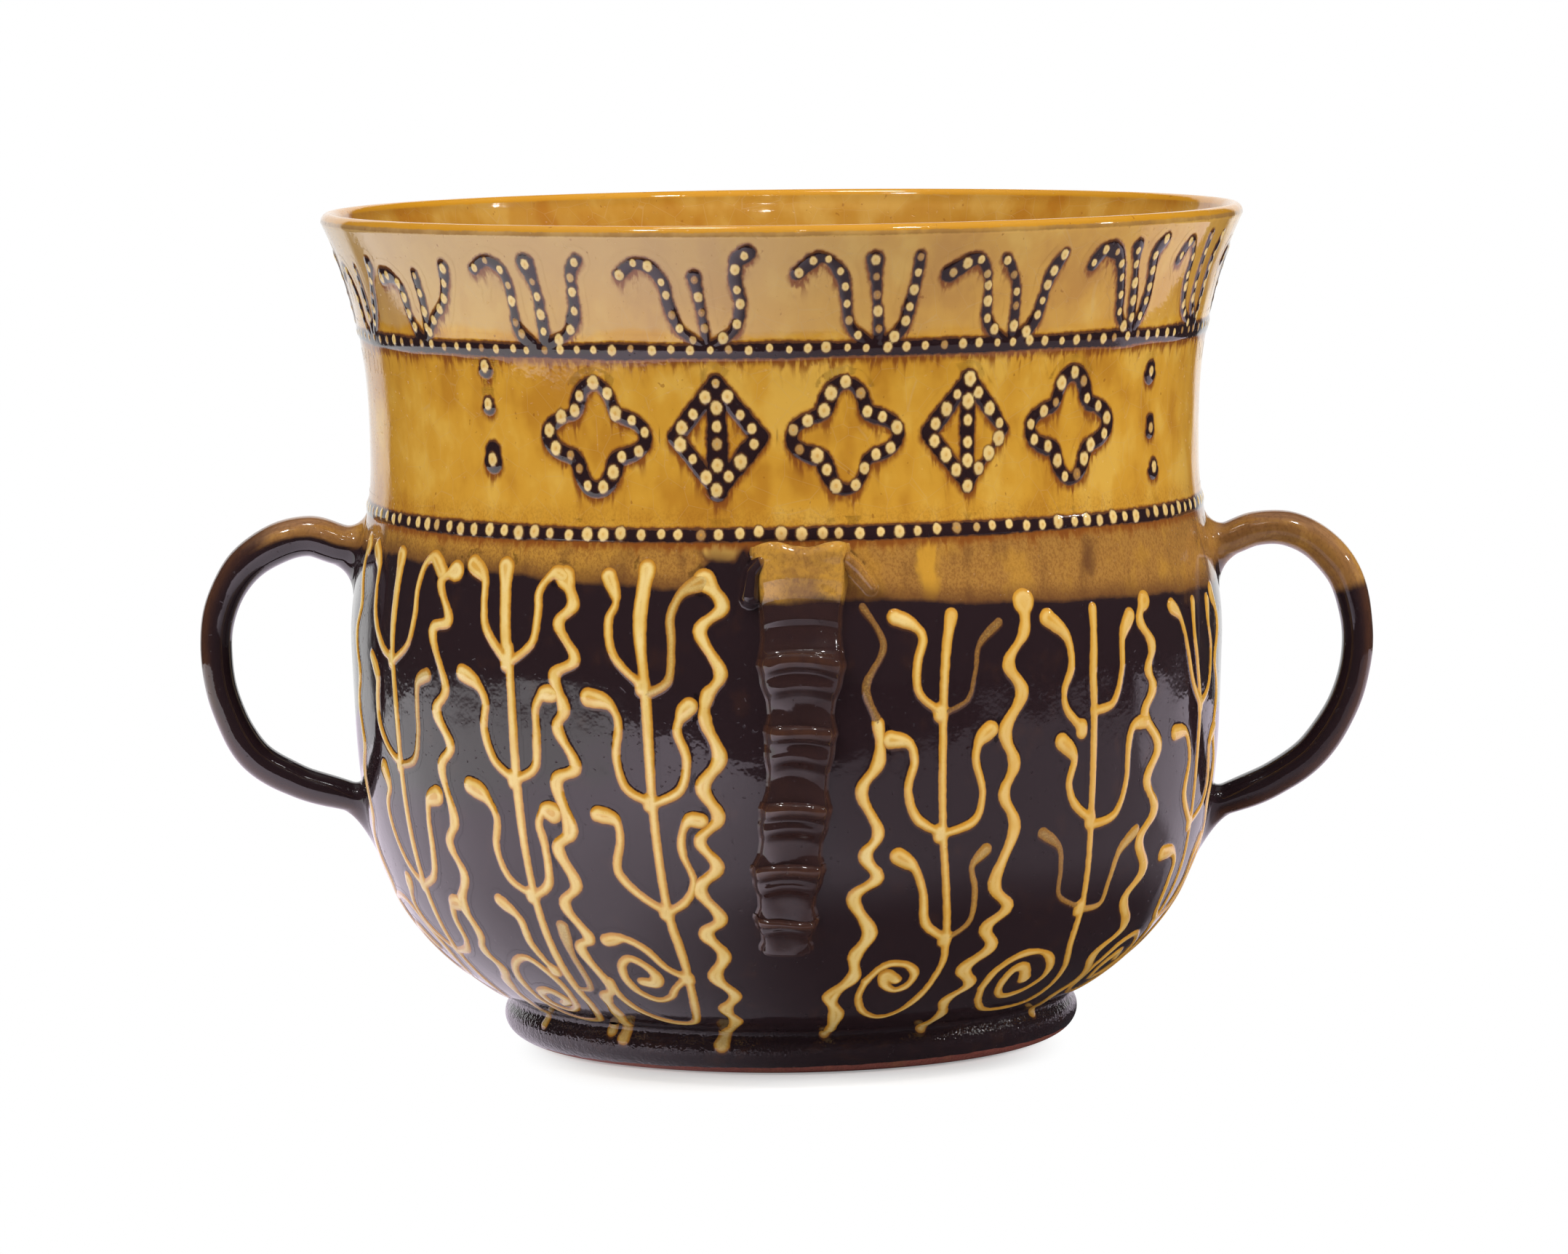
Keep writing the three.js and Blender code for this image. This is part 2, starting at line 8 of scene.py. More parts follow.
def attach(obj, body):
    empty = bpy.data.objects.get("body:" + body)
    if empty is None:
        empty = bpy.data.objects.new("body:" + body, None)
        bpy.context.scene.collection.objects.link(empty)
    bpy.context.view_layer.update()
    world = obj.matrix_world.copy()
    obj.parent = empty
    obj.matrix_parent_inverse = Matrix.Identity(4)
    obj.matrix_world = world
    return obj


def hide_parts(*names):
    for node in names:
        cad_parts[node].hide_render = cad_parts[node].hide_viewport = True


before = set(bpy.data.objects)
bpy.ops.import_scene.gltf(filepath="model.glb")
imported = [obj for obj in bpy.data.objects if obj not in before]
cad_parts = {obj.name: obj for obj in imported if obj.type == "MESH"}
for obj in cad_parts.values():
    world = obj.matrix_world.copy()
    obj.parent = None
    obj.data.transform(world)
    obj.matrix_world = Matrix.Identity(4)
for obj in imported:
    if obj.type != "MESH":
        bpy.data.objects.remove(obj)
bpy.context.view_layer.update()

# Sizes in millimetres, the same as in the solids. The pot stands on z = 0 with its front towards -y.
MM = 0.001
POT_HEIGHT = 218.0
FOOT_HEIGHT = 10.5
FOOT_ROLL_HEIGHT = 6.0
BELLY_HEIGHT = 105.0
BELT_HEIGHT = 2.0
SHOULDER_HEIGHT = 44.5
NECK_HEIGHT = 2.5
LIP_DROP = 2.5
FOOT_EDGE_RADIUS = 68.5
FOOT_ROLL_RADIUS = 75.8
GROOVE_RADIUS = 72.0
BELLY_RADIUS = 114.7
NECK_RADIUS = 108.8
LIP_RADIUS = 120.7
BELLY_FULLNESS = 4.1
BELLY_SPRING = 0.88
BELLY_SLOPE = 0.08
RIM_FLARE = 2.5
LIP_WALL = 4.2
BELLY_WALL = 4.8
LOW_WALL = 6.0
FLOOR_THICKNESS = 5.5
FOOT_RING_WIDTH = 14.0
INNER_FLOOR_RADIUS = 50.0
INNER_TURN_HEIGHT = 44.0
HANDLE_THICKNESS = 8.4
HANDLE_WIDTH = 12.0
STRAP_TOP_WIDTH = 22.2
STRAP_FOOT_WIDTH = 15.0
STRAP_TOP_TURN = 2.3
STRAP_FOOT_TURN = -0.2
BAND_WIDTH = 4.4
LOWER_BAND_SHARE = 0.325
UPPER_BAND_SHARE = 0.732

# The glaze pooled in the groove: where it leaves the roll in degrees, its bend and its top on the wall
POOL_START = 40.0
POOL_BEND = (73.5, 11.0)
POOL_TOP = 11.9

# How far the hand-thrown pot strays from a true circle: bumps round it, their size and their start
WOBBLE = [(2, 0.16, 1.6), (3, 0.1, 2.1), (7, 0.05, 0.0)]

SHOULDER_BOTTOM = BELLY_HEIGHT + BELT_HEIGHT
SHOULDER_TOP = SHOULDER_BOTTOM + SHOULDER_HEIGHT
FLARE_BOTTOM = SHOULDER_TOP + NECK_HEIGHT
LIP_HEIGHT = POT_HEIGHT - LIP_DROP
FOOT_BORE_RADIUS = FOOT_EDGE_RADIUS - FOOT_RING_WIDTH

FRONT, BACK = 0.0, 180.0
TURNED_COLUMNS = 420
GRID_STEP = 0.42
random = np.random.default_rng(7)


# Turned surfaces

def smooth(x):
    x = np.clip(x, 0.0, 1.0)
    return x * x * (3.0 - 2.0 * x)


def wall_radius(z):
    below = np.clip(1.0 - (z - FOOT_HEIGHT) / (BELLY_HEIGHT - FOOT_HEIGHT), 0.0, 1.0)
    swell = (1.0 - below ** BELLY_FULLNESS) ** BELLY_SPRING * (1.0 - BELLY_SLOPE * below)
    belly = GROOVE_RADIUS + (BELLY_RADIUS - GROOVE_RADIUS) * swell
    fall = smooth((z - SHOULDER_BOTTOM) / SHOULDER_HEIGHT)
    shoulder = BELLY_RADIUS + (NECK_RADIUS - BELLY_RADIUS) * fall
    share = np.clip((z - FLARE_BOTTOM) / (LIP_HEIGHT - FLARE_BOTTOM), 0.0, 1.0)
    rim = NECK_RADIUS + (LIP_RADIUS - NECK_RADIUS) * share ** RIM_FLARE
    return np.where(z < BELLY_HEIGHT, belly, np.where(z < FLARE_BOTTOM, shoulder, rim))


def wall_thickness(z):
    high = smooth((z - BELLY_HEIGHT) / (LIP_HEIGHT - BELLY_HEIGHT))
    low = 1.0 - smooth((z - FOOT_HEIGHT) / (BELLY_HEIGHT - FOOT_HEIGHT))
    return BELLY_WALL + (LIP_WALL - BELLY_WALL) * high + (LOW_WALL - BELLY_WALL) * low


def wobble(turn):
    return sum(size * np.cos(bumps * np.radians(turn) + start) for bumps, size, start in WOBBLE)


class Turned:
    """A turned surface: rings from the bottom up, each at its distance along the surface."""

    def __init__(self, radius, z):
        self.ring_radius = radius
        self.ring_z = z
        self.ring_along = np.concatenate([[0.0], np.cumsum(np.hypot(np.diff(radius), np.diff(z)))])
        self.ring_out = np.gradient(z, self.ring_along)
        self.ring_up = -np.gradient(radius, self.ring_along)
        self.length = self.ring_along[-1]

    def radius(self, along):
        return np.interp(along, self.ring_along, self.ring_radius)

    def height(self, along):
        return np.interp(along, self.ring_along, self.ring_z)

    def out(self, along):
        return np.interp(along, self.ring_along, self.ring_out)

    def along_at_height(self, z):
        return np.interp(z, self.ring_z, self.ring_along)

    def at(self, turn, along, lift):
        """Points off the surface: turn in degrees from the front, distance along it, lift."""
        radius = self.radius(along) + wobble(turn) + self.out(along) * lift
        z = self.height(along) + np.interp(along, self.ring_along, self.ring_up) * lift
        angle = np.radians(turn)
        return np.stack([radius * np.sin(angle), -radius * np.cos(angle), z], axis=-1)


wall_z = FOOT_HEIGHT + (LIP_HEIGHT - FOOT_HEIGHT) * np.linspace(0.0, 1.0, 1200) ** 2
wall = Turned(wall_radius(wall_z), wall_z)


def foot_side():
    """The foot from its resting edge up: round the roll, then over the glaze pooled in the groove."""
    under = np.linspace(0.0, math.pi / 2, 24)
    over = np.radians(np.linspace(0.0, POOL_START, 14)[1:])
    radius = np.concatenate([FOOT_EDGE_RADIUS + (FOOT_ROLL_RADIUS - FOOT_EDGE_RADIUS) * np.sin(under),
                             GROOVE_RADIUS + (FOOT_ROLL_RADIUS - GROOVE_RADIUS) * np.cos(over)])
    height = np.concatenate([FOOT_ROLL_HEIGHT * (1.0 - np.cos(under)),
                             FOOT_ROLL_HEIGHT + (FOOT_HEIGHT - FOOT_ROLL_HEIGHT) * np.sin(over)])
    start = np.array([radius[-1], height[-1]])
    end = np.array([wall_radius(POOL_TOP) - 0.03, POOL_TOP])
    share = np.linspace(0.0, 1.0, 18)[1:, None]
    pool = (1.0 - share) ** 2 * start + 2 * share * (1.0 - share) * np.array(POOL_BEND) + share ** 2 * end
    return np.concatenate([radius, pool[:, 0]]), np.concatenate([height, pool[:, 1]])


roll = Turned(*foot_side())
BELLY_ALONG = wall.along_at_height(BELLY_HEIGHT)
LOWER_BAND = BELLY_ALONG + LOWER_BAND_SHARE * (wall.length - BELLY_ALONG)
UPPER_BAND = BELLY_ALONG + UPPER_BAND_SHARE * (wall.length - BELLY_ALONG)
LOWER_BAND_HEIGHT = float(wall.height(LOWER_BAND))


# Meshes

def make_piece(name, corners, quads, materials, values=None, triangles=(), finish_of=None):
    """A smooth mesh from corners in millimetres. Values are named numbers at the corners, and
    finish_of gives the place of each face's material in the list."""
    mesh = bpy.data.meshes.new(name)
    spots = np.asarray(corners, dtype=np.float64)
    quads = np.asarray(quads, dtype=np.int32).reshape(-1, 4)
    triangles = np.asarray(triangles, dtype=np.int32).reshape(-1, 3)
    loops = np.concatenate([quads.ravel(), triangles.ravel()])
    starts = np.concatenate([np.arange(len(quads)) * 4, quads.size + np.arange(len(triangles)) * 3])
    mesh.vertices.add(spots.size // 3)
    mesh.vertices.foreach_set("co", spots.ravel() * MM)
    mesh.loops.add(len(loops))
    mesh.loops.foreach_set("vertex_index", loops)
    mesh.polygons.add(len(starts))
    mesh.polygons.foreach_set("loop_start", starts.astype(np.int32))
    mesh.polygons.foreach_set("use_smooth", np.ones(len(starts), dtype=bool))
    for material in materials:
        mesh.materials.append(material)
    if finish_of is not None:
        mesh.polygons.foreach_set("material_index", np.asarray(finish_of, dtype=np.int32))
    mesh.update(calc_edges=True)
    mesh.validate()
    for key, value in (values or {}).items():
        layer = mesh.attributes.new(key, "FLOAT", "POINT")
        spread = np.broadcast_to(value, spots.shape[:-1])
        layer.data.foreach_set("value", spread.astype(np.float32).ravel())
    piece = bpy.data.objects.new(name, mesh)
    bpy.context.scene.collection.objects.link(piece)
    return piece


def grid_quads(rows, columns, wrap=False):
    """Quads of a grid of corners. With wrap, the last column meets the first."""
    index = np.arange(rows * columns).reshape(rows, columns)
    right = np.roll(index, -1, axis=1)
    if not wrap:
        index, right = index[:, :-1], right[:, :-1]
    return np.stack([index[:-1], right[:-1], right[1:], index[1:]], axis=-1).reshape(-1, 4)


def settle(piece, slot, *nodes):
    """The pot is one fired body, so every piece rides on root and stands for its plain solids."""
    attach(piece, "root")
    if nodes:
        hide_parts(*nodes)


# Shader nodes

class Varying:
    """A number or colour that varies over a surface: one output of a node. Sums of it add Math nodes."""

    def __init__(self, socket):
        self.socket = socket
        self.tree = socket.id_data

    def reckon(self, operation, *others):
        node = new_node(self.tree, "Math", operation=operation)
        for socket, value in zip(node.inputs, (self, *others)):
            feed(socket, value)
        return Varying(node.outputs[0])

    def __add__(self, other):
        return self.reckon("ADD", other)

    def __sub__(self, other):
        return self.reckon("SUBTRACT", other)

    def __mul__(self, other):
        return self.reckon("MULTIPLY", other)

    def __truediv__(self, other):
        return self.reckon("DIVIDE", other)

    def __pow__(self, other):
        return self.reckon("POWER", other)

    def __abs__(self):
        return self.reckon("ABSOLUTE")

    def at_least(self, other):
        return self.reckon("MAXIMUM", other)

    def at_most(self, other):
        return self.reckon("MINIMUM", other)


def new_node(tree, kind, **settings):
    node = tree.nodes.new("ShaderNode" + kind)
    for key, value in settings.items():
        setattr(node, key, value)
    return node


def feed(socket, value):
    """Gives a socket another node's output, or a plain value."""
    source = getattr(value, "socket", value)
    if isinstance(source, bpy.types.NodeSocket):
        socket.id_data.links.new(source, socket)
    else:
        socket.default_value = value


def ease(value, start, end, low=0.0, high=1.0):
    """Runs smoothly from low at the start value to high at the end value."""
    node = new_node(value.tree, "MapRange", interpolation_type="SMOOTHSTEP")
    for name, given in (("Value", value), ("From Min", start), ("From Max", end),
                        ("To Min", low), ("To Max", high)):
        feed(node.inputs[name], given)
    return Varying(node.outputs[0])


def dye(share, under, over):
    """Covers one colour with a share of another."""
    node = new_node(share.tree, "Mix", data_type="RGBA")
    feed(node.inputs[0], share)
    feed(node.inputs[6], under)
    feed(node.inputs[7], over)
    return Varying(node.outputs[2])


def clouds(place, size, tall=1.0, detail=2.0, roughness=0.5, wide=1.0):
    """Soft noise with features about as large as size, in millimetres, and so many times as tall."""
    mapping = new_node(place.tree, "Mapping")
    feed(mapping.inputs["Vector"], place)
    mapping.inputs["Scale"].default_value = [1.0 / (size * stretch) for stretch in (wide, wide, tall)]
    noise = new_node(place.tree, "TexNoise")
    feed(noise.inputs["Vector"], mapping.outputs[0])
    noise.inputs["Scale"].default_value = 1.0
    noise.inputs["Detail"].default_value = detail
    noise.inputs["Roughness"].default_value = roughness
    return Varying(noise.outputs[0])


def place_in_millimetres(tree):
    scale = new_node(tree, "VectorMath", operation="SCALE")
    feed(scale.inputs[0], new_node(tree, "TexCoord").outputs["Object"])
    scale.inputs["Scale"].default_value = 1.0 / MM
    return Varying(scale.outputs[0])


def axes(place):
    split = new_node(place.tree, "SeparateXYZ")
    feed(split.inputs[0], place)
    return [Varying(socket) for socket in split.outputs]


def named_value(tree, name):
    return Varying(new_node(tree, "Attribute", attribute_name=name).outputs["Fac"])


def new_group(name, inputs, *outputs):
    """An empty shared effect: its tree, its inputs with these defaults, and the outputs to feed."""
    tree = bpy.data.node_groups.new(name, "ShaderNodeTree")
    for title, value in inputs.items():
        kind = "NodeSocketFloat" if isinstance(value, float) else "NodeSocketColor"
        socket = tree.interface.new_socket(title, in_out="INPUT", socket_type=kind)
        socket.default_value = value
    for title in outputs:
        kind = "NodeSocketColor" if title == "Color" else "NodeSocketFloat"
        tree.interface.new_socket(title, in_out="OUTPUT", socket_type=kind)
    given = tree.nodes.new("NodeGroupInput").outputs
    result = tree.nodes.new("NodeGroupOutput").inputs
    return tree, {title: Varying(given[title]) for title in inputs}, result


def use(tree, group, **values):
    """Places a shared effect in a material, with its own values by socket name."""
    node = tree.nodes.new("ShaderNodeGroup")
    node.node_tree = group
    for key, value in values.items():
        feed(node.inputs[key.replace("_", " ")], value)
    return {socket.name: Varying(socket) for socket in node.outputs}


def colour(red, green, blue):
    return (red, green, blue, 1.0)


HONEY = colour(0.64, 0.32, 0.034)
HONEY_LIGHT = colour(0.74, 0.43, 0.075)
HONEY_POOL = colour(0.42, 0.16, 0.013)
# Darker copies of the honey for the inside of the pot: painted shade
HONEY_SHADED_INSIDE = colour(0.5, 0.24, 0.03)
PALE_HONEY_SHADED_INSIDE = colour(0.6, 0.34, 0.07)
# Painted reflection of the table at the flared rim, also the colour of the crazing lines
CRAZING_AND_PAINTED_REFLECTION = colour(0.58, 0.38, 0.17)
LIP_SHADE = colour(0.3, 0.15, 0.045)
LIP_AMBER = colour(0.6, 0.27, 0.012)
TAN = colour(0.41, 0.195, 0.042)
TAN_GRAIN = colour(0.2, 0.075, 0.02)
TAN_SPILL = colour(0.74, 0.44, 0.1)
TREACLE = colour(0.0215, 0.0112, 0.0135)
TREACLE_BREAK = colour(0.12, 0.045, 0.018)
HALO = colour(0.24, 0.07, 0.012)
CREAM = colour(0.78, 0.5, 0.12)
CREAM_HEART = colour(0.86, 0.64, 0.27)
CREAM_EDGE = colour(0.52, 0.22, 0.02)
AMBER = colour(0.66, 0.33, 0.042)
HANDLE_AMBER = colour(0.36, 0.18, 0.075)
STRAP_AMBER = colour(0.52, 0.26, 0.045)
DARKER_AMBER = colour(0.27, 0.125, 0.035)
THIN_CREAM = colour(0.21, 0.1, 0.035)
DARK_SLIP = colour(0.022, 0.01, 0.0115)
JEWEL = colour(0.84, 0.6, 0.24)
JEWEL_DIM = colour(0.3, 0.13, 0.035)
JEWEL_HEART = colour(0.62, 0.29, 0.045)
RED_CLAY = colour(0.36, 0.085, 0.06)
MIRRORED_TABLE = colour(0.98, 0.87, 1.0)
MIRRORED_TABLE_LEFT = colour(0.95, 0.94, 0.97)


def patch(place, middle, half_size):
    """A soft spot on the front wall, round a middle (x, z) in millimetres."""
    x, y, z = axes(place)
    across = (x - middle[0]) * (1.0 / half_size[0])
    up = (z - middle[1]) * (1.0 / half_size[1])
    reach = (across * across + up * up).reckon("SQRT") + clouds(place, 4.5, 1.3) * 1.5
    return ease(reach, 1.95, 0.95) * ease(y, 0.0, -20.0)


def wall_glaze_group():
    """Honey glaze over cream slip above, treacle dip below, with a speckled tan edge between them."""
    # One input switches on the painted reflection at the rim, the painted shade on the lip and the dust above
    # the lower band; the inside sets it to nothing
    tree, given, result = new_group(
        "Wall glaze",
        {"Honey": HONEY, "Honey Pool": HONEY_POOL, "Honey Light": HONEY_LIGHT, "Rim Haze": CRAZING_AND_PAINTED_REFLECTION,
         "Tan": TAN, "Treacle": TREACLE, "Dip Height": 126.3, "Dip Slant": 6.3, "Tan Top": 139.8,
         "Haze": 1.0, "Pooling": 0.6, "Speckle": 1.0}, "Color")
    place = place_in_millimetres(tree)
    x, y, z = axes(place)

    smears = clouds(place, 9.0, 1.3, 3.0, 0.6)
    depth_of_glaze = clouds(place, 7.0, 2.0) * 0.28 + clouds(place, 26.0, 0.9) * 0.5 + smears * 0.22
    # The honey is a little darker past the far left of the wall
    depth_of_glaze = depth_of_glaze + ease(x, -86.0, -106.0, 0.0, 0.03)
    honey = dye(ease(depth_of_glaze, 0.49, 0.62) * given["Pooling"], given["Honey"], given["Honey Pool"])
    honey = dye(ease(depth_of_glaze, 0.5, 0.4, 0.0, 0.75), honey, given["Honey Light"])
    cracks = new_node(tree, "TexVoronoi", feature="DISTANCE_TO_EDGE")
    feed(cracks.inputs["Vector"], place)
    cracks.inputs["Scale"].default_value = 0.13
    crazing = ease(Varying(cracks.outputs["Distance"]), 0.014, 0.004, 0.0, 0.22)
    honey = dye(crazing, honey, given["Rim Haze"])

    # Painted reflection: the flared rim is paler where it would mirror the table, most of all on the left
    waver = clouds(place, 17.0) * 7.0 + clouds(place, 2.6) * 1.2
    painted_reflection = ease(z + waver, 194.6, 196.6, 0.0, 0.5) + ease(z, 192.0, 212.0, 0.0, 0.25)
    painted_reflection = painted_reflection * ease(x, 75.0, -50.0, 0.3, 1.0)
    honey = dye(painted_reflection * given["Haze"], honey, given["Rim Haze"])
    lip = z + clouds(place, 9.0) * 0.5 + clouds(place, 0.9) * 0.5
    # Painted shade on the outer, lower part of the rolled lip
    under_lip = ease(lip, 215.6, 216.1) * ease(smears, 0.35, 0.6, 0.45, 0.8)
    honey = dye(under_lip * given["Haze"], honey, LIP_SHADE)
    honey = dye(ease(lip, 216.7, 217.2, 0.0, 0.85), honey, LIP_AMBER)

    spots = clouds(place, 1.5, 1.3, 1.0)
    honey = dye(ease(spots, 0.73, 0.8, 0.0, 0.5) * given["Speckle"], honey, HALO)
    fine = clouds(place, 0.6, 1.3, 2.0, 0.7)
    dust = ease(z, LOWER_BAND_HEIGHT + 9.0, LOWER_BAND_HEIGHT + 3.0) * ease(fine, 0.4, 0.66, 0.08, 0.34)
    honey = dye(dust * given["Haze"], honey, HALO)

    tan = dye(ease(x, -10.0, -60.0, 0.0, 0.35), given["Tan"], given["Honey"])
    tan = dye(ease(fine, 0.4, 0.64, 0.0, 0.55), tan, TAN_GRAIN)
    tan = dye(ease(smears, 0.48, 0.7, 0.0, 0.35), tan, given["Honey"])
    tan = dye(ease(clouds(place, 6.0, 2.6), 0.52, 0.74, 0.0, 0.5), tan, TREACLE_BREAK)
    spill = patch(place, middle=(-15.2, 137.6), half_size=(7.6, 3.4))
    tan = dye(ease(spill, 0.0, 0.4, 0.0, 0.85), tan, TREACLE_BREAK)
    tan = dye(ease(spill, 0.2, 0.9), tan, TAN_SPILL)
    run_down = patch(place, middle=(35.6, 132.0), half_size=(3.4, 12.0))
    tan = dye(ease(run_down, 0.1, 0.9, 0.0, 0.8), tan, HONEY)
    dark_run = patch(place, middle=(76.0, 132.0), half_size=(2.6, 6.5))
    tan = dye(dark_run * 0.7, tan, TREACLE_BREAK)
    tan_line = z + clouds(place, 16.0) * 2.4
    tan_share = ease(tan_line, given["Tan Top"] + 2.0, given["Tan Top"])

    facing = (y * -0.075).at_most(1.0).at_least(-1.0)
    slant = x * (1.0 / NECK_RADIUS) * facing * given["Dip Slant"]
    ripple = clouds(place, 14.0) * 2.6 + clouds(place, 2.2) * 0.9
    hump = (ease(x, -24.0, -18.0, 0.0, 8.0) + ease(x, -13.0, -9.5, 0.0, 4.0)) * ease(x, -3.0, -8.0)
    dip = given["Dip Height"] - slant + (ripple - 1.75) + hump * ease(y, 0.0, -20.0)
    depth = dip - z
    colours = dye(tan_share, honey, tan)
    colours = dye(ease(depth, -6.0, 0.2, 0.0, 0.8), colours, TREACLE_BREAK)
    warm = dye(ease(smears, 0.56, 0.78, 0.0, 0.14), given["Treacle"], TREACLE_BREAK)
    feed(result["Color"], dye(ease(depth, -0.9, 0.8), colours, warm))
    return tree


def kiln_skin_group():
    """Relief and gloss of a run lead glaze: throwing rings, soft ripple, orange peel and pinholes."""
    tree, given, result = new_group(
        "Kiln skin", {"Rings": 0.06, "Ripple": 0.34, "Peel": 0.02, "Pits": 0.03, "Roughness": 0.07},
        "Height", "Roughness")
    place = place_in_millimetres(tree)
    rings = clouds(place, 5.0, detail=0.0, wide=40.0)
    ripple = clouds(place, 13.0, 1.4, 0.7)
    peel = clouds(place, 1.6, detail=1.0)
    pinholes = ease(clouds(place, 1.1, detail=0.0), 0.235, 0.17)
    height = rings * given["Rings"] + ripple * given["Ripple"] + peel * given["Peel"]
    feed(result["Height"], height - pinholes * given["Pits"])
    rough = ease(clouds(place, 20.0, 2.0, 3.0), 0.35, 0.7, 0.75, 1.45) * given["Roughness"]
    feed(result["Roughness"], rough + pinholes * 0.2)
    return tree


def slip_line_group():
    """Masks of a trailed line from the distance to its edge: the line, its thick middle, its stain.
    Lean is 1 on edges that face up, where glaze ran off and left amber, and -1 where it pooled."""
    tree, given, result = new_group(
        "Slip line", {"Edge": 9.0, "Lean": 0.0, "Wander": 0.35, "Stain Reach": 1.0},
        "Line", "Middle", "Heart", "Core", "Stain")
    place = place_in_millimetres(tree)
    edge = (clouds(place, 1.8) - 0.5) * given["Wander"] + given["Edge"]
    upper = given["Lean"].at_least(0.0)
    lower = (given["Lean"] * -1.0).at_least(0.0)
    feed(result["Line"], ease(edge, 0.2, -0.15))
    feed(result["Middle"], ease(edge, -0.08, upper * -0.75 - 0.85))
    feed(result["Heart"], ease(edge, -0.55, -1.25))
    feed(result["Core"], ease(edge, -1.55, -2.1))
    feed(result["Stain"], ease(edge, given["Stain Reach"] * (lower * 0.9 + 0.4), -0.1))
    return tree


def bare_clay_group():
    """Fired red clay with coarse grains."""
    tree, given, result = new_group("Bare clay", {"Clay": RED_CLAY, "Grain": 0.05}, "Color", "Height")
    place = place_in_millimetres(tree)
    grains = clouds(place, 0.7, 1.0, 3.0, 0.7)
    clay = dye(ease(grains, 0.45, 0.7, 0.0, 0.5), given["Clay"], TREACLE_BREAK)
    feed(result["Color"], dye(ease(clouds(place, 12.0), 0.5, 0.75, 0.0, 0.4), clay, TAN))
    feed(result["Height"], grains * given["Grain"])
    return tree


# Lead glaze bends light more than window glass does
LEAD_GLAZE_IOR = 1.66
BARE_CLAY_ROUGHNESS = 0.7
UNDERSIDE_ROUGHNESS = 0.75
wall_glaze = wall_glaze_group()
kiln_skin = kiln_skin_group()
slip_line = slip_line_group()
bare_clay = bare_clay_group()


def new_material(name):
    material = bpy.data.materials.new(name)
    material.use_nodes = True
    material.node_tree.nodes.clear()
    return material, material.node_tree


def fired(material, colours, roughness, height):
    """Finishes a material with the shader of a fired glaze, and its relief in millimetres."""
    tree = material.node_tree
    shader = new_node(tree, "BsdfPrincipled")
    shader.inputs["IOR"].default_value = LEAD_GLAZE_IOR
    bump = new_node(tree, "Bump")
    bump.inputs["Strength"].default_value = 1.0
    bump.inputs["Distance"].default_value = MM
    feed(bump.inputs["Height"], height)
    feed(shader.inputs["Base Color"], colours)
    feed(shader.inputs["Roughness"], roughness)
    feed(shader.inputs["Normal"], bump.outputs[0])
    feed(new_node(tree, "OutputMaterial").inputs["Surface"], shader.outputs[0])
    return material


def outside_finish():
    material, tree = new_material("Honey and treacle glaze")
    skin = use(tree, kiln_skin)
    return fired(material, use(tree, wall_glaze)["Color"], skin["Roughness"], skin["Height"])


def inside_finish():
    # The inside takes the darker honey as painted shade
    material, tree = new_material("Honey glaze inside")
    skin = use(tree, kiln_skin, Rings=0.3)
    # Inside, without the painted reflection, the painted lip shade or the dust
    glaze = use(tree, wall_glaze, Dip_Height=-100.0, Tan_Top=-100.0, Haze=0.0, Pooling=0.85,
                Honey=HONEY_SHADED_INSIDE, Honey_Light=PALE_HONEY_SHADED_INSIDE)
    return fired(material, glaze["Color"], skin["Roughness"], skin["Height"])


def cream_slip_finish():
    material, tree = new_material("Cream slip under amber glaze")
    skin = use(tree, kiln_skin, Rings=0.0, Ripple=0.15, Roughness=0.08)
    line = use(tree, slip_line, Edge=named_value(tree, "edge"), Lean=named_value(tree, "lean"),
               Wander=0.4, Stain_Reach=0.8)
    place = place_in_millimetres(tree)
    grain = clouds(place, 0.45, detail=1.0)
    patches = clouds(place, 6.0, 1.5)
    body = dye(line["Middle"], CREAM_EDGE, CREAM)
    body = dye(line["Heart"] * ease(patches, 0.3, 0.6, 0.95, 0.45), body, CREAM_HEART)
    body = dye(line["Core"] * ease(patches, 0.4, 0.6, 0.2, 0.75), body, AMBER)
    warm = ease(patches, 0.5, 0.72, 0.0, 0.3) + ease(axes(place)[0], 10.0, 70.0, 0.0, 0.5)
    body = dye(warm, body, AMBER)
    thin = named_value(tree, "thin") * ease(grain, 0.3, 0.6, 0.7, 1.0)
    body = dye(thin, body, THIN_CREAM)
    body = dye(ease(grain, 0.62, 0.75, 0.0, 0.2), body, CREAM_EDGE)
    stained = dye(line["Stain"] * 0.7, use(tree, wall_glaze)["Color"], TREACLE_BREAK)
    share = line["Line"] * (thin * -0.3 + 1.0)
    return fired(material, dye(share, stained, body), skin["Roughness"], skin["Height"])


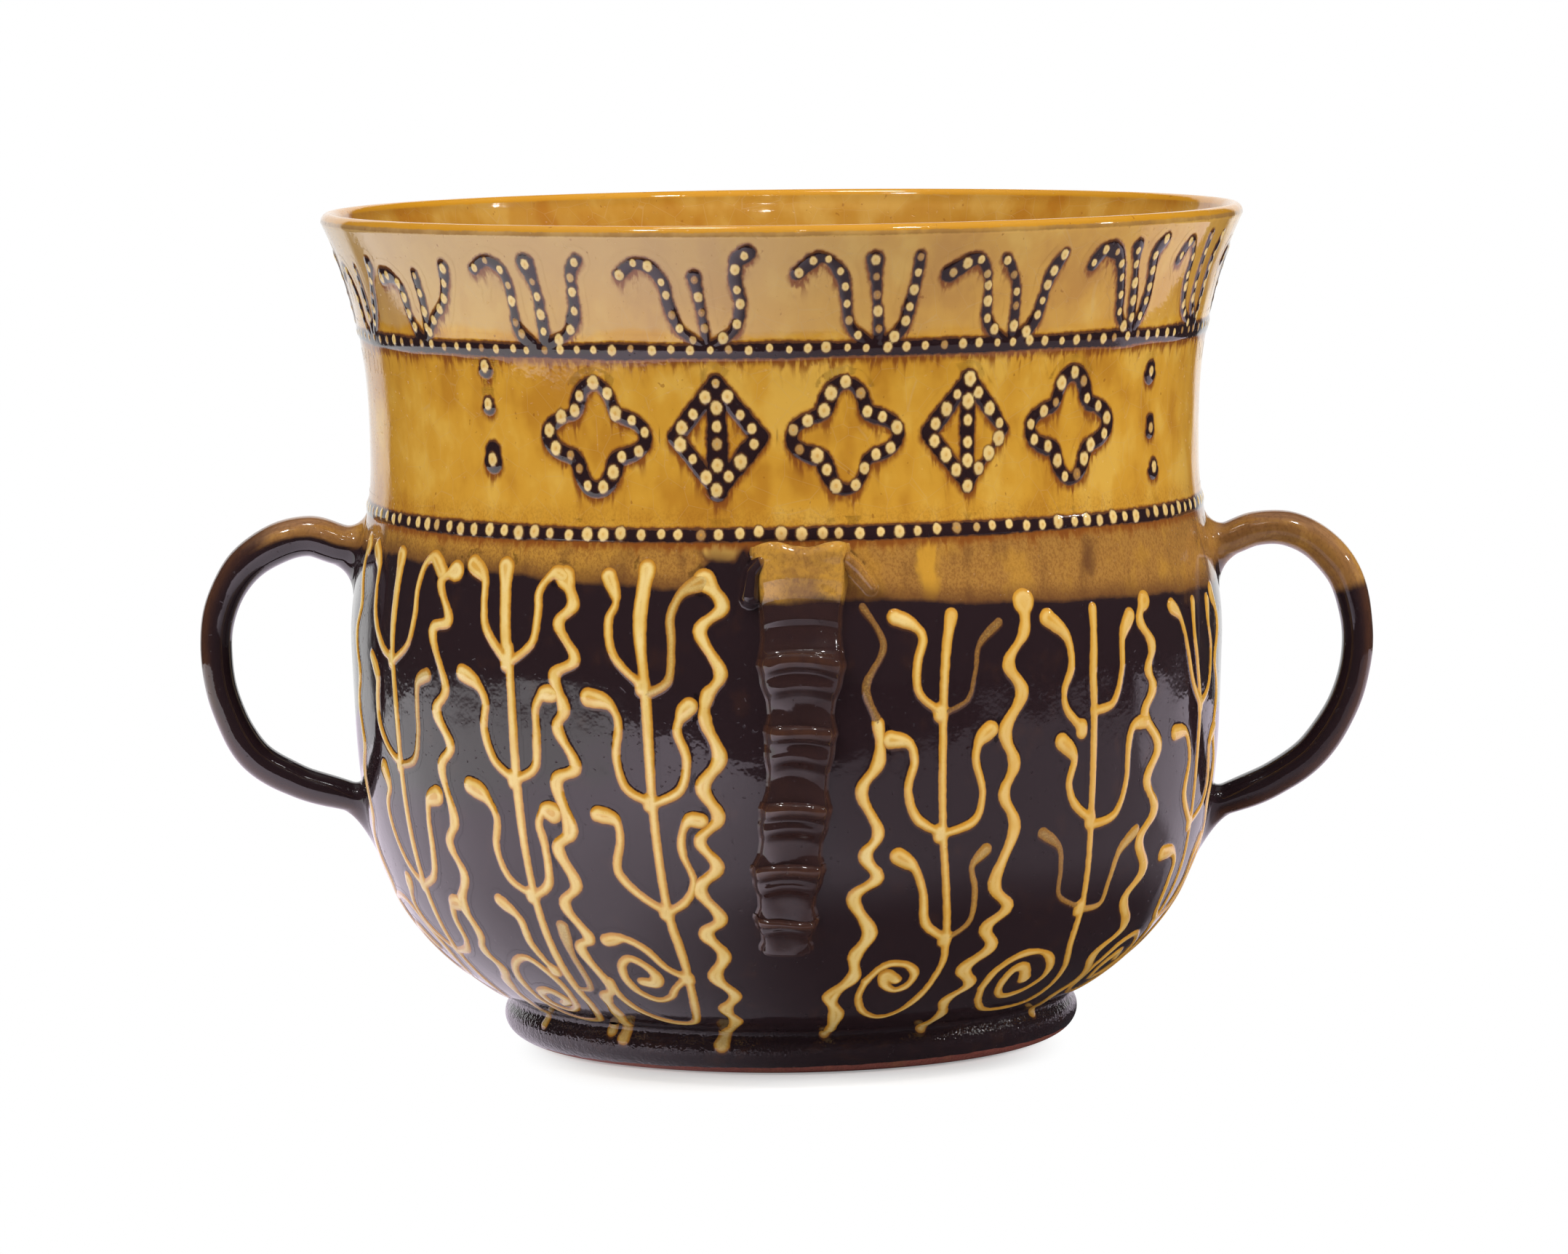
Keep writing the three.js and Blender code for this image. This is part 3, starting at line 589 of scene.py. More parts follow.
def jewelled_slip_finish():
    material, tree = new_material("Jewelled dark slip")
    skin = use(tree, kiln_skin, Ripple=0.25, Roughness=0.07)
    line = use(tree, slip_line, Edge=named_value(tree, "edge"), Lean=named_value(tree, "lean"),
               Wander=1.0, Stain_Reach=1.9)
    place = place_in_millimetres(tree)
    ragged = clouds(place, 1.1, 4.0)
    run = named_value(tree, "run") * ease(ragged, 0.3, 0.6)
    stained = dye(ease(run, 0.02, 0.45, 0.0, 0.9), use(tree, wall_glaze)["Color"], HALO)
    stained = dye(ease(run, 0.35, 0.85, 0.0, 0.85), stained, TREACLE_BREAK)
    stained = dye(line["Stain"] * ease(ragged, 0.3, 0.6, 0.65, 1.0), stained, HALO)
    body = dye(ease(line["Middle"], 0.0, 0.35), TREACLE_BREAK, DARK_SLIP)
    inked = dye(line["Line"], stained, body)
    jewel = named_value(tree, "jewel") + (clouds(place, 0.9) - 0.5) * 0.4
    tone = named_value(tree, "tone")
    inked = dye(ease(jewel, 1.4, 1.0, 0.0, 0.8), inked, TREACLE_BREAK)
    inked = dye(ease(jewel, 1.14, 0.78), inked, dye(tone, JEWEL_DIM, JEWEL))
    inked = dye(ease(jewel, 0.62, 0.36, 0.0, 0.3) * tone, inked, CREAM)
    inked = dye(ease(jewel, 0.42, 0.1) * (tone * -0.5 + 1.05), inked, JEWEL_HEART)
    return fired(material, inked, skin["Roughness"], skin["Height"])


def clay_work_finish(name, amber_colour, grain, mottle):
    """Treacle glaze on handles and straps: it breaks to red-brown where it runs thin. Pull is the
    distance along a pulled handle, so that its streaks run with it, and grain how short they are.
    Mottle is how strongly brown breaks through the amber."""
    material, tree = new_material(name)
    skin = use(tree, kiln_skin, Rings=0.0, Ripple=0.25, Roughness=0.08)
    place = place_in_millimetres(tree)
    around = named_value(tree, "round")
    pulled = new_node(tree, "CombineXYZ")
    feed(pulled.inputs[0], named_value(tree, "pull") * grain)
    feed(pulled.inputs[1], around)
    streak = clouds(Varying(pulled.outputs[0]), 0.55, 1.0, 3.0, 0.6)
    blotch = clouds(place, 3.0, 2.0, 3.0, 0.6)
    fine = clouds(place, 0.8, 1.5, 2.0, 0.7)
    uneven = streak * 0.5 + blotch * 0.5
    thin = named_value(tree, "ridge") * ease(uneven, 0.3, 0.65, 0.5, 1.0)
    amber = dye(ease(streak, 0.42, 0.66, 0.0, 0.5), amber_colour, HONEY)
    amber = dye(ease(streak, 0.5, 0.34, 0.0, mottle), amber, TREACLE_BREAK)
    # Darker amber where round is near nothing: along the middle of a strap and on the front and back faces of
    # a handle
    amber = dye(ease(abs(around), 1.0, 0.1) * ease(blotch, 0.36, 0.56, 0.35, 0.8), amber, DARKER_AMBER)
    amber = dye(ease(fine, 0.45, 0.7, 0.0, 0.32), amber, TREACLE_BREAK)
    share = named_value(tree, "amber") + (uneven - 0.5) * 0.5
    worked = dye(ease(share, 0.2, 0.8), dye(thin, TREACLE, TREACLE_BREAK), amber)
    joined = dye(named_value(tree, "joint"), worked, use(tree, wall_glaze)["Color"])
    return fired(material, joined, skin["Roughness"], skin["Height"])


def foot_finish():
    material, tree = new_material("Treacle glaze and bare clay")
    skin = use(tree, kiln_skin, Rings=0.0, Ripple=0.6, Peel=0.22, Roughness=0.1)
    clay = use(tree, bare_clay)
    place = place_in_millimetres(tree)
    bare = ease(named_value(tree, "bare") + clouds(place, 6.0) * 0.8, 0.75, 1.05)
    glaze = dye(ease(clouds(place, 5.0, 0.6, 3.0), 0.5, 0.75, 0.0, 0.15), TREACLE, TREACLE_BREAK)
    roughness = skin["Roughness"] + (skin["Roughness"] * -1.0 + BARE_CLAY_ROUGHNESS) * bare
    grit = clouds(place, 0.7, detail=1.0) * 0.2
    height = clay["Height"] * bare + skin["Height"] + grit
    return fired(material, dye(bare, glaze, clay["Color"]), roughness, height)


def underside_finish():
    material, tree = new_material("Bare clay underside")
    clay = use(tree, bare_clay, Grain=0.08)
    skin = use(tree, kiln_skin, Rings=0.0)
    return fired(material, clay["Color"], UNDERSIDE_ROUGHNESS, clay["Height"] + skin["Height"])


outside = outside_finish()
inside = inside_finish()
cream_slip = cream_slip_finish()
jewelled_slip = jewelled_slip_finish()
handle_glaze = clay_work_finish("Handle glaze", HANDLE_AMBER, grain=0.025, mottle=0.5)
strap_glaze = clay_work_finish("Strap glaze", STRAP_AMBER, grain=1.0, mottle=0.25)
foot_glaze = foot_finish()
underside = underside_finish()


# Body and foot

def revolve(profile, columns):
    """Corners and quads of a profile of (radius, height) turned round the axis."""
    profile = np.asarray(profile)
    turn = np.linspace(-180.0, 180.0, columns, endpoint=False)
    angle = np.radians(turn)
    stray = smooth(profile[:, 0] / 40.0)[:, None] * wobble(turn)[None, :]
    radius = profile[:, 0][:, None] + stray
    height = np.repeat(profile[:, 1][:, None], columns, axis=1)
    corners = np.stack([radius * np.sin(angle), -radius * np.cos(angle), height], axis=-1)
    return corners, grid_quads(len(profile), columns, wrap=True)


def make_body():
    columns = TURNED_COLUMNS
    base = [(r, FOOT_HEIGHT) for r in np.linspace(1.0, GROOVE_RADIUS - 0.5, 12)]
    along = wall.length * np.linspace(0.0, 1.0, 250) ** 1.08
    outer = np.stack([wall.radius(along), wall.height(along)], axis=-1)
    lip_angle = np.linspace(0.0, math.pi, 15)[1:-1]
    lip = np.stack([LIP_RADIUS - LIP_WALL / 2 * (1.0 - np.cos(lip_angle)),
                    LIP_HEIGHT + LIP_DROP * np.sin(lip_angle)], axis=-1)
    inner_z = np.linspace(LIP_HEIGHT, INNER_TURN_HEIGHT, 90)
    inner = np.stack([wall_radius(inner_z) - wall_thickness(inner_z), inner_z], axis=-1)
    floor_height = FOOT_HEIGHT + FLOOR_THICKNESS
    turn_angle = np.linspace(0.0, math.pi / 2, 26)[1:]
    turned_in = np.stack([
        INNER_FLOOR_RADIUS + (inner[-1, 0] - INNER_FLOOR_RADIUS) * np.cos(turn_angle),
        INNER_TURN_HEIGHT - (INNER_TURN_HEIGHT - floor_height) * np.sin(turn_angle)], axis=-1)
    floor_radius = np.linspace(INNER_FLOOR_RADIUS, 1.0, 22)[1:]
    spiral = 0.25 * np.cos(floor_radius * 0.9) * smooth((INNER_FLOOR_RADIUS - floor_radius) / 12.0)
    bottom = np.stack([floor_radius, floor_height + spiral], axis=-1)
    profile = np.concatenate([base, outer, lip, inner, turned_in, bottom])
    corners, quads = revolve(profile, columns)
    of_outside, of_inside, of_underside = 0, 1, 2
    bands = np.full(len(profile) - 1, of_inside)
    bands[:len(base) + len(outer) + len(lip) // 2] = of_outside
    bands[:len(base)] = of_underside
    caps = np.repeat([of_underside, of_inside], columns)
    middles = [[0.0, 0.0, profile[0, 1]], [0.0, 0.0, profile[-1, 1]]]
    low_middle = len(profile) * columns
    ring = np.arange(columns)
    after = np.roll(ring, -1)
    top = (len(profile) - 1) * columns
    triangles = np.concatenate([
        np.stack([np.full(columns, low_middle), after, ring], axis=-1),
        np.stack([top + ring, top + after, np.full(columns, low_middle + 1)], axis=-1)])
    piece = make_piece("thrown_body", np.concatenate([corners.reshape(-1, 3), middles]), quads,
                       [outside, inside, underside], triangles=triangles,
                       finish_of=np.concatenate([np.repeat(bands, columns), caps]))
    settle(piece, "honey_glaze", "body")


def make_foot():
    """The rolled foot. Its glaze was wiped off the resting edge, higher up on one side than the other."""
    edge = 0.8
    bore = [(FOOT_BORE_RADIUS, z) for z in np.linspace(FOOT_HEIGHT, edge, 10)]
    bore_edge = [(FOOT_BORE_RADIUS + edge * (1.0 - math.cos(a)), edge * (1.0 - math.sin(a)))
                 for a in np.linspace(0.0, math.pi / 2, 6)[1:]]
    rest = [(r, 0.0) for r in np.linspace(FOOT_BORE_RADIUS + edge, FOOT_EDGE_RADIUS, 10)[1:-1]]
    side = [(roll.radius(a), roll.height(a)) for a in np.linspace(0.0, roll.length, 56)]
    profile = np.array([*bore, *bore_edge, *rest, *side])
    corners, quads = revolve(profile, TURNED_COLUMNS)
    turn = np.linspace(-180.0, 180.0, TURNED_COLUMNS, endpoint=False)
    wiped = 0.8 + 1.1 * np.cos(np.radians(turn - 60.0))
    bare = 1.0 - smooth((profile[:, 1][:, None] - wiped[None, :]) / 1.8)
    bare[:-len(side)] = 1.0
    settle(make_piece("turned_foot", corners, quads, [foot_glaze], {"bare": bare}), "foot_clay", "foot_ring")


# Handles and straps

def through(points, steps_per_span=10):
    """A smooth curve through given points."""
    points = np.asarray(points, dtype=float)
    padded = np.concatenate([points[:1], points, points[-1:]])
    curve = []
    for i in range(len(points) - 1):
        a, b, c, d = padded[i:i + 4]
        t = np.linspace(0.0, 1.0, steps_per_span, endpoint=False)[:, None]
        curve.append(0.5 * (2 * b + (c - a) * t + (2 * a - 5 * b + 4 * c - d) * t ** 2
                            + (3 * b - a - 3 * c + d) * t ** 3))
    curve.append(points[-1:])
    return np.concatenate(curve)


def off_wall(points):
    """Distance of points from the thrown wall, in millimetres, less than zero inside it."""
    x, y, z = points[..., 0], points[..., 1], points[..., 2]
    along = wall.along_at_height(z)
    turn = np.degrees(np.arctan2(x, -y))
    return (np.hypot(x, y) - wall.radius(along) - wobble(turn)) * wall.out(along)


def unit(vectors, least=0.0):
    return vectors / np.maximum(np.linalg.norm(vectors, axis=-1), least)[..., None]


# Middle lines of the loops as (distance from the axis, height), from the upper joint to the lower
LEFT_LOOP = [(108.5, 129.3), (117.0, 130.3), (125.3, 132.7), (134.2, 130.7), (143.2, 124.4), (149.0, 114.0),
             (150.5, 102.5), (148.3, 88.8), (141.3, 75.2), (129.6, 67.8), (116.8, 63.8), (104.0, 59.8)]
RIGHT_LOOP = [(108.5, 127.8), (116.2, 129.0), (124.0, 131.7), (132.9, 131.5), (141.2, 127.0), (147.7, 118.5),
              (150.5, 106.5), (150.0, 95.5), (146.3, 84.0), (138.6, 72.6), (128.6, 65.4), (117.8, 60.8),
              (104.0, 56.5)]

# How thick each handle is at these shares of its length
HANDLE_STATIONS = [0.0, 0.08, 0.2, 0.32, 0.45, 0.6, 0.74, 0.86, 0.95, 1.0]
LEFT_THICKNESS = [1.25, 1.28, 1.28, 1.12, 0.985, 1.0, 1.09, 1.0, 0.86, 0.86]
RIGHT_THICKNESS = [1.05, 1.06, 1.1, 1.14, 0.96, 1.0, 1.1, 1.06, 0.9, 0.9]
HANDLE_ROUNDING = 0.92


def left_amber(share, outward):
    """On the outer side of the left handle at its top, and faintly on to the bend."""
    amber = smooth((outward + 0.1) / 0.4) * (1.0 - 0.75 * smooth((share - 0.13) / 0.14))
    return amber * (1.0 - smooth((share - 0.26) / 0.12))


def right_amber(share, outward):
    """All round the right handle, down to a line across it."""
    return np.clip(1.0 - (share - 0.335) / 0.04, 0.0, 1.0)


def make_handle(name, node, side, route, thickness, amber):
    """A pulled loop handle. Its ends are smoothed on to the wall, the lower one with a tail."""
    route = through([[x, 0.0, z] for x, z in route], 30)
    length = np.concatenate([[0.0], np.cumsum(np.linalg.norm(np.diff(route, axis=0), axis=1))])
    rows, columns = 420, 56
    at = np.linspace(0.0, length[-1], rows)
    centre = np.stack([np.interp(at, length, route[:, k]) for k in range(3)], axis=-1)
    share = at / length[-1]
    centre[:, 1] += 0.5 * np.sin(share * 7.0 + side) * np.sin(share * math.pi)
    across = np.array([0.0, 1.0, 0.0])
    outward = unit(np.cross(unit(np.gradient(centre, axis=0)), across))
    angle = np.linspace(0.0, 2 * math.pi, columns, endpoint=False)
    cosine, sine = np.cos(angle), np.sin(angle)
    taper = np.interp(share, HANDLE_STATIONS, thickness)
    taper = np.convolve(np.pad(taper, 15, mode="edge"), np.ones(31) / 31, mode="valid")
    taper = taper * (1.0 + 0.01 * np.sin(share * 31.0) + 0.006 * np.sin(share * 67.0 + 1.0))
    flat = 0.5 * HANDLE_THICKNESS * taper[:, None] * np.sign(cosine) * np.abs(cosine) ** HANDLE_ROUNDING
    wide = 0.5 * HANDLE_WIDTH * taper[:, None] * np.sign(sine) * np.abs(sine) ** HANDLE_ROUNDING
    offset = outward[:, None, :] * flat[:, :, None] + across * wide[:, :, None]
    corners = centre[:, None, :] + offset
    corners[..., 0] *= side
    offset[..., 0] *= side

    lift = off_wall(corners)
    facing = unit(corners * [1.0, 1.0, 0.0])
    spread = unit(offset - facing * np.sum(offset * facing, axis=-1)[..., None], 1e-6)
    lower_half = share[:, None] > 0.5
    under = np.clip(-spread[..., 2], 0.0, 1.0) ** 2
    tail = np.where(lower_half, under, 0.0)
    web = np.where(lower_half, 0.0, under)
    above = np.where(lower_half, 0.0, np.clip(spread[..., 2], 0.0, 1.0) ** 2)
    high = 3.0 + 4.0 * tail + 4.5 * web + 2.0 * above
    wide_foot = 2.6 + 12.0 * tail + 6.5 * web + 3.0 * above
    depth = np.clip(1.0 - np.maximum(lift, 0.0) / high, 0.0, 1.0)
    push = wide_foot * (1.0 - np.sqrt(1.0 - depth ** 2 * 0.999))
    corners = corners + spread * push[..., None]
    for _ in range(4):
        corners += facing * (lift - off_wall(corners))[..., None]

    kept = np.where((lift > -1.2).any(axis=1))[0]
    kept = slice(max(kept[0] - 1, 0), kept[-1] + 2)
    lift, corners, share = lift[kept], corners[kept], share[kept][:, None]
    values = {"amber": amber(share, cosine), "ridge": 0.55 * smooth(cosine / 0.8),
              "joint": smooth(1.0 - lift / 4.5), "pull": share * length[-1], "round": cosine}
    piece = make_piece(name, corners, grid_quads(len(corners), columns, wrap=True), [handle_glaze], values)
    settle(piece, "treacle_glaze", node)


# The strap's pleats from the top down: length, how high and how far aslant it lies, how far its middle
# rides up. Then how far the strap's sides step out at each pleat's start, and at its end
PLEATS = [(28.7, 1.0, 0.0, 0.4), (16.5, 1.0, -0.4, 2.0), (19.3, 0.97, -0.5, 0.9), (15.5, 1.0, -0.5, 1.3),
          (13.5, 0.95, 0.0, 1.5), (9.0, 0.9, -0.5, 0.8)]
LEFT_STEPS = [-1.0, 0.5, 2.4, 1.4, -0.9, -0.2, 0.8]
RIGHT_STEPS = [-0.6, 0.3, -0.6, -0.5, -0.9, -1.6, -1.8]

# A pleat in section: its rolled lip as (down, off the wall), then its hollow as (share of the pleat, off
# the wall). The top pleat, pressed on with two fingers, has a section of its own
PLEAT_LIP = [(-0.2, 4.0), (-0.75, 4.7), (-0.7, 5.6), (0.0, 6.35), (1.2, 6.6), (2.5, 6.2), (3.4, 5.3),
             (4.2, 4.75)]
PLEAT_HOLLOW = [(0.33, 4.8), (0.4, 5.0), (0.46, 4.8), (0.53, 3.9), (0.59, 3.3), (0.67, 3.15),
                (0.78, 3.35), (0.88, 3.75), (0.97, 4.3)]
TOP_PLEAT = [(-0.5, -0.5), (-0.7, 2.2), (-0.5, 4.4), (0.2, 5.7), (1.6, 6.3), (3.4, 6.1), (6.0, 5.35),
             (9.2, 5.0), (11.0, 4.35), (13.0, 3.75), (15.0, 3.2), (17.0, 3.5), (19.0, 3.8), (20.8, 3.05),
             (23.0, 3.3), (25.2, 3.95)]
SHORT_PLEAT = 16.0


def strap_middle_line(top):
    """Rows down the strap: place, lift, pleat and share of it, lip, tilt and arch."""
    rows = []
    start = top
    for k, (pleat, height, tilt, arch) in enumerate(PLEATS):
        near = min(1.0, pleat / SHORT_PLEAT)
        folds = [(down * near, lift) for down, lift in PLEAT_LIP]
        folds += [(share * pleat, lift) for share, lift in PLEAT_HOLLOW]
        if k == 0:
            folds = TOP_PLEAT
        for down, lift in through(np.array(folds) * [1.0, height], 7):
            share = np.clip(down / pleat, 0.0, 1.0)
            lip = math.exp(-((down - 0.8) / 1.3) ** 2)
            rides_up = arch * (1.0 - smooth(share * 1.6)) + 1.7 * math.sin(math.pi * share) ** 2
            rows.append((start - down, lift, k + share, lip, tilt * (1.0 - share), rides_up))
        start -= pleat
    end_lift = rows[-1][1]
    for step in np.linspace(0.15, 1.0, 9):
        lift = end_lift * math.sqrt(max(1.0 - step ** 2, 0.0)) - 0.5 * step
        rows.append((start - 1.6 * step, lift, len(PLEATS), 0.0, 0.0, 0.0))
    return np.array(rows).T


def make_strap(name, node, turn):
    """A pleated strap, pressed on in folds: each starts with a rolled lip and sinks to the next."""
    top = LOWER_BAND - BAND_WIDTH / 2 - 0.7
    along, lift, fold, lip, tilt, arch = strap_middle_line(top)
    share = (top - along) / sum(pleat[0] for pleat in PLEATS)
    middle = np.radians(turn + STRAP_TOP_TURN + (STRAP_FOOT_TURN - STRAP_TOP_TURN) * share)
    middle = middle * wall.radius(along)
    half = (STRAP_TOP_WIDTH + (STRAP_FOOT_WIDTH - STRAP_TOP_WIDTH) * share) / 2
    steps = np.arange(len(PLEATS) + 1)
    pinch = 0.4 * lip - 0.9 * smooth((fold % 1.0 - 0.3) / 0.3) * (1.0 - smooth((fold % 1.0 - 0.75) / 0.25))
    left = -half + np.interp(fold, steps, LEFT_STEPS) - pinch
    right = half + np.interp(fold, steps, RIGHT_STEPS) + pinch
    rounder = 0.05 + 0.2 * (1.0 - smooth((fold - 0.55) / 0.4))
    bulge = 0.9 * np.sin(math.pi * np.clip(fold / 0.62, 0.0, 1.0)) ** 2
    crest = np.exp(-((fold - 0.02) / 0.12) ** 2)
    lift, lip, tilt, arch, along, middle, left, right, rounder, bulge, crest = [
        each[:, None] for each in (lift, lip, tilt, arch, along, middle, left, right, rounder, bulge, crest)]

    sweep = np.linspace(0.0, math.pi, 64)
    sideways = -np.sign(np.cos(sweep)) * np.abs(np.cos(sweep)) ** 0.5
    upwards = np.sin(sweep) ** 0.7
    skirt = 1.3 * np.clip(1.0 - upwards / 0.22, 0.0, 1.0) ** 2
    corner = np.exp(-((np.abs(sideways) - 0.86) / 0.1) ** 2)
    crinkle = 0.8 * np.cos((sideways + 0.62) * 4.4)
    spot = (left + right) / 2 + (right - left) / 2 * sideways + np.sign(sideways) * skirt
    flatness = 1.0 - rounder * sideways ** 2 - 0.16 * lip * sideways ** 4
    rise = (lift + bulge) * upwards * flatness + 0.25 * lip * corner - 0.35 * (upwards < 0.02)
    rise = rise + crest * crinkle * upwards
    place = along + arch * (1.0 - sideways ** 2) + tilt * sideways + crest * (crinkle - 0.5)
    knuckle = 0.26 * np.sin(place * 0.35 + 1.7 * np.sin(spot * 0.25 + place * 0.13)) * upwards
    turns = np.degrees((spot + middle) / wall.radius(along))
    corners = wall.at(turns, place, rise + knuckle)
    amber_line = LOWER_BAND - 16.2 + 0.5 * np.sin(spot * 0.35)
    edge = smooth((np.abs(sideways) - 0.93) / 0.07)
    values = {"amber": smooth((place - amber_line) / 6.5 + 0.5),
              "ridge": np.clip(0.12 + 0.3 * lip + 0.3 * edge, 0.0, 1.0),
              "joint": smooth(1.0 - upwards / 0.2), "pull": place * 0.2, "round": spot * 0.12}
    piece = make_piece(name, corners, grid_quads(*turns.shape), [strap_glaze], values)
    settle(piece, "treacle_glaze", node)


# Slip trails: each stroke is a row of places with half widths and rises

def hand(count, size):
    """Slow thick and thin of a line squeezed by hand."""
    knots = max(count // 7, 3)
    values = random.normal(0.0, size, knots)
    return 1.0 + np.interp(np.linspace(0, knots - 1, count), np.arange(knots), values)


def stroke(places, width, rise, tip=1.0, unevenness=0.07, thin=0.0):
    """Places are [turn, distance up the wall]. The far end swells to a tip, as the trailer stops."""
    places = np.asarray(places, dtype=float)
    share = np.linspace(0.0, 1.0, len(places))
    swell = 1.0 + (tip - 1.0) * smooth((share - 0.7) / 0.22)
    half = width / 2 * swell * hand(len(places), unevenness) * (1.0 - 0.5 * thin)
    rises = rise * np.sqrt(2 * half / width) * (1.0 - 0.6 * thin)
    return {"places": places, "half": half, "rise": rises, "thin": thin}


# Width and rise of each kind of line, and how far its skin reaches past it
UPPER_BAND_LINE = (4.3, 0.32)
LOWER_BAND_LINE = (3.9, 0.32)
SPRIG_LINE = (3.2, 0.3)
MOTIF_LINE = (4.3, 0.32)
DOT_RISE = 0.4
WAVE_LINE = (3.0, 0.4)
TRUNK_LINE = (2.4, 0.38)
COIL_LINE = (2.4, 0.38)
ARM_LINE = (2.35, 0.4)
KNOT_LINE = (3.7, 0.42)
DRIP_RISE = 0.45
DARK_SLIP_MARGIN = 1.9
CREAM_SLIP_MARGIN = 1.2
DRIP_MARGIN = 0.9
EAR_MARGIN = 0.5

# The distance given where no slip and no jewel is near, and how deep two lines run into one another
FAR_OFF = 9.0
RUN_TOGETHER = 0.7

# The skin's lift off the wall, and how high and how many times as tall as wide a jewel is
SKIN_LIFT = 0.03
JEWEL_RISE = 0.12
JEWEL_TALLNESS = 1.22


class SlipGrid:
    """A fine grid on a turned surface, over a stretch of it or all the way round."""

    def __init__(self, surface, strokes, margin, bleed, whole_turn, step):
        places = np.concatenate([s["places"] for s in strokes])
        reach = margin + 3.2
        low = max(places[:, 1].min() - reach - bleed, 0.15)
        high = min(places[:, 1].max() + reach, surface.length - 0.2)
        middle = surface.radius((low + high) / 2)
        self.whole_turn = whole_turn
        self.rows = int((high - low) / step) + 1
        self.along = np.linspace(low, high, self.rows)
        if whole_turn:
            self.columns = int(2 * math.pi * middle / step)
            self.turn = np.linspace(-180.0, 180.0, self.columns, endpoint=False)
        else:
            side = math.degrees(reach / surface.radius(low))
            first, last = places[:, 0].min(), places[:, 0].max()
            self.columns = int(math.radians(last - first + 2 * side) * middle / step) + 1
            self.turn = np.linspace(first - side, last + side, self.columns)
        self.surface = surface
        self.radii = surface.radius(self.along)
        self.step_turn = self.turn[1] - self.turn[0]
        self.step_along = self.along[1] - self.along[0]

    def filled(self, value):
        return np.full((self.rows, self.columns), value)

    def near(self, places, grow):
        """The cells within grow of some places, and their distances across and up from the first."""
        (t0, a0), (t1, a1) = places[0], places[-1]
        side = math.degrees(grow / self.surface.radius((a0 + a1) / 2))
        first = math.floor((min(t0, t1) - side - self.turn[0]) / self.step_turn)
        last = math.ceil((max(t0, t1) + side - self.turn[0]) / self.step_turn) + 1
        low = max(math.floor((min(a0, a1) - grow - self.along[0]) / self.step_along), 0)
        high = min(math.ceil((max(a0, a1) + grow - self.along[0]) / self.step_along) + 1, self.rows)
        picked = np.arange(first, last)
        if not self.whole_turn:
            picked = picked[(picked >= 0) & (picked < self.columns)]
        turn = self.turn[0] + picked * self.step_turn
        rows = np.arange(low, high)
        x = np.radians(turn - t0)[None, :] * self.radii[rows][:, None]
        y = (self.along[rows] - a0)[:, None]
        return np.ix_(rows, picked % self.columns), x, y


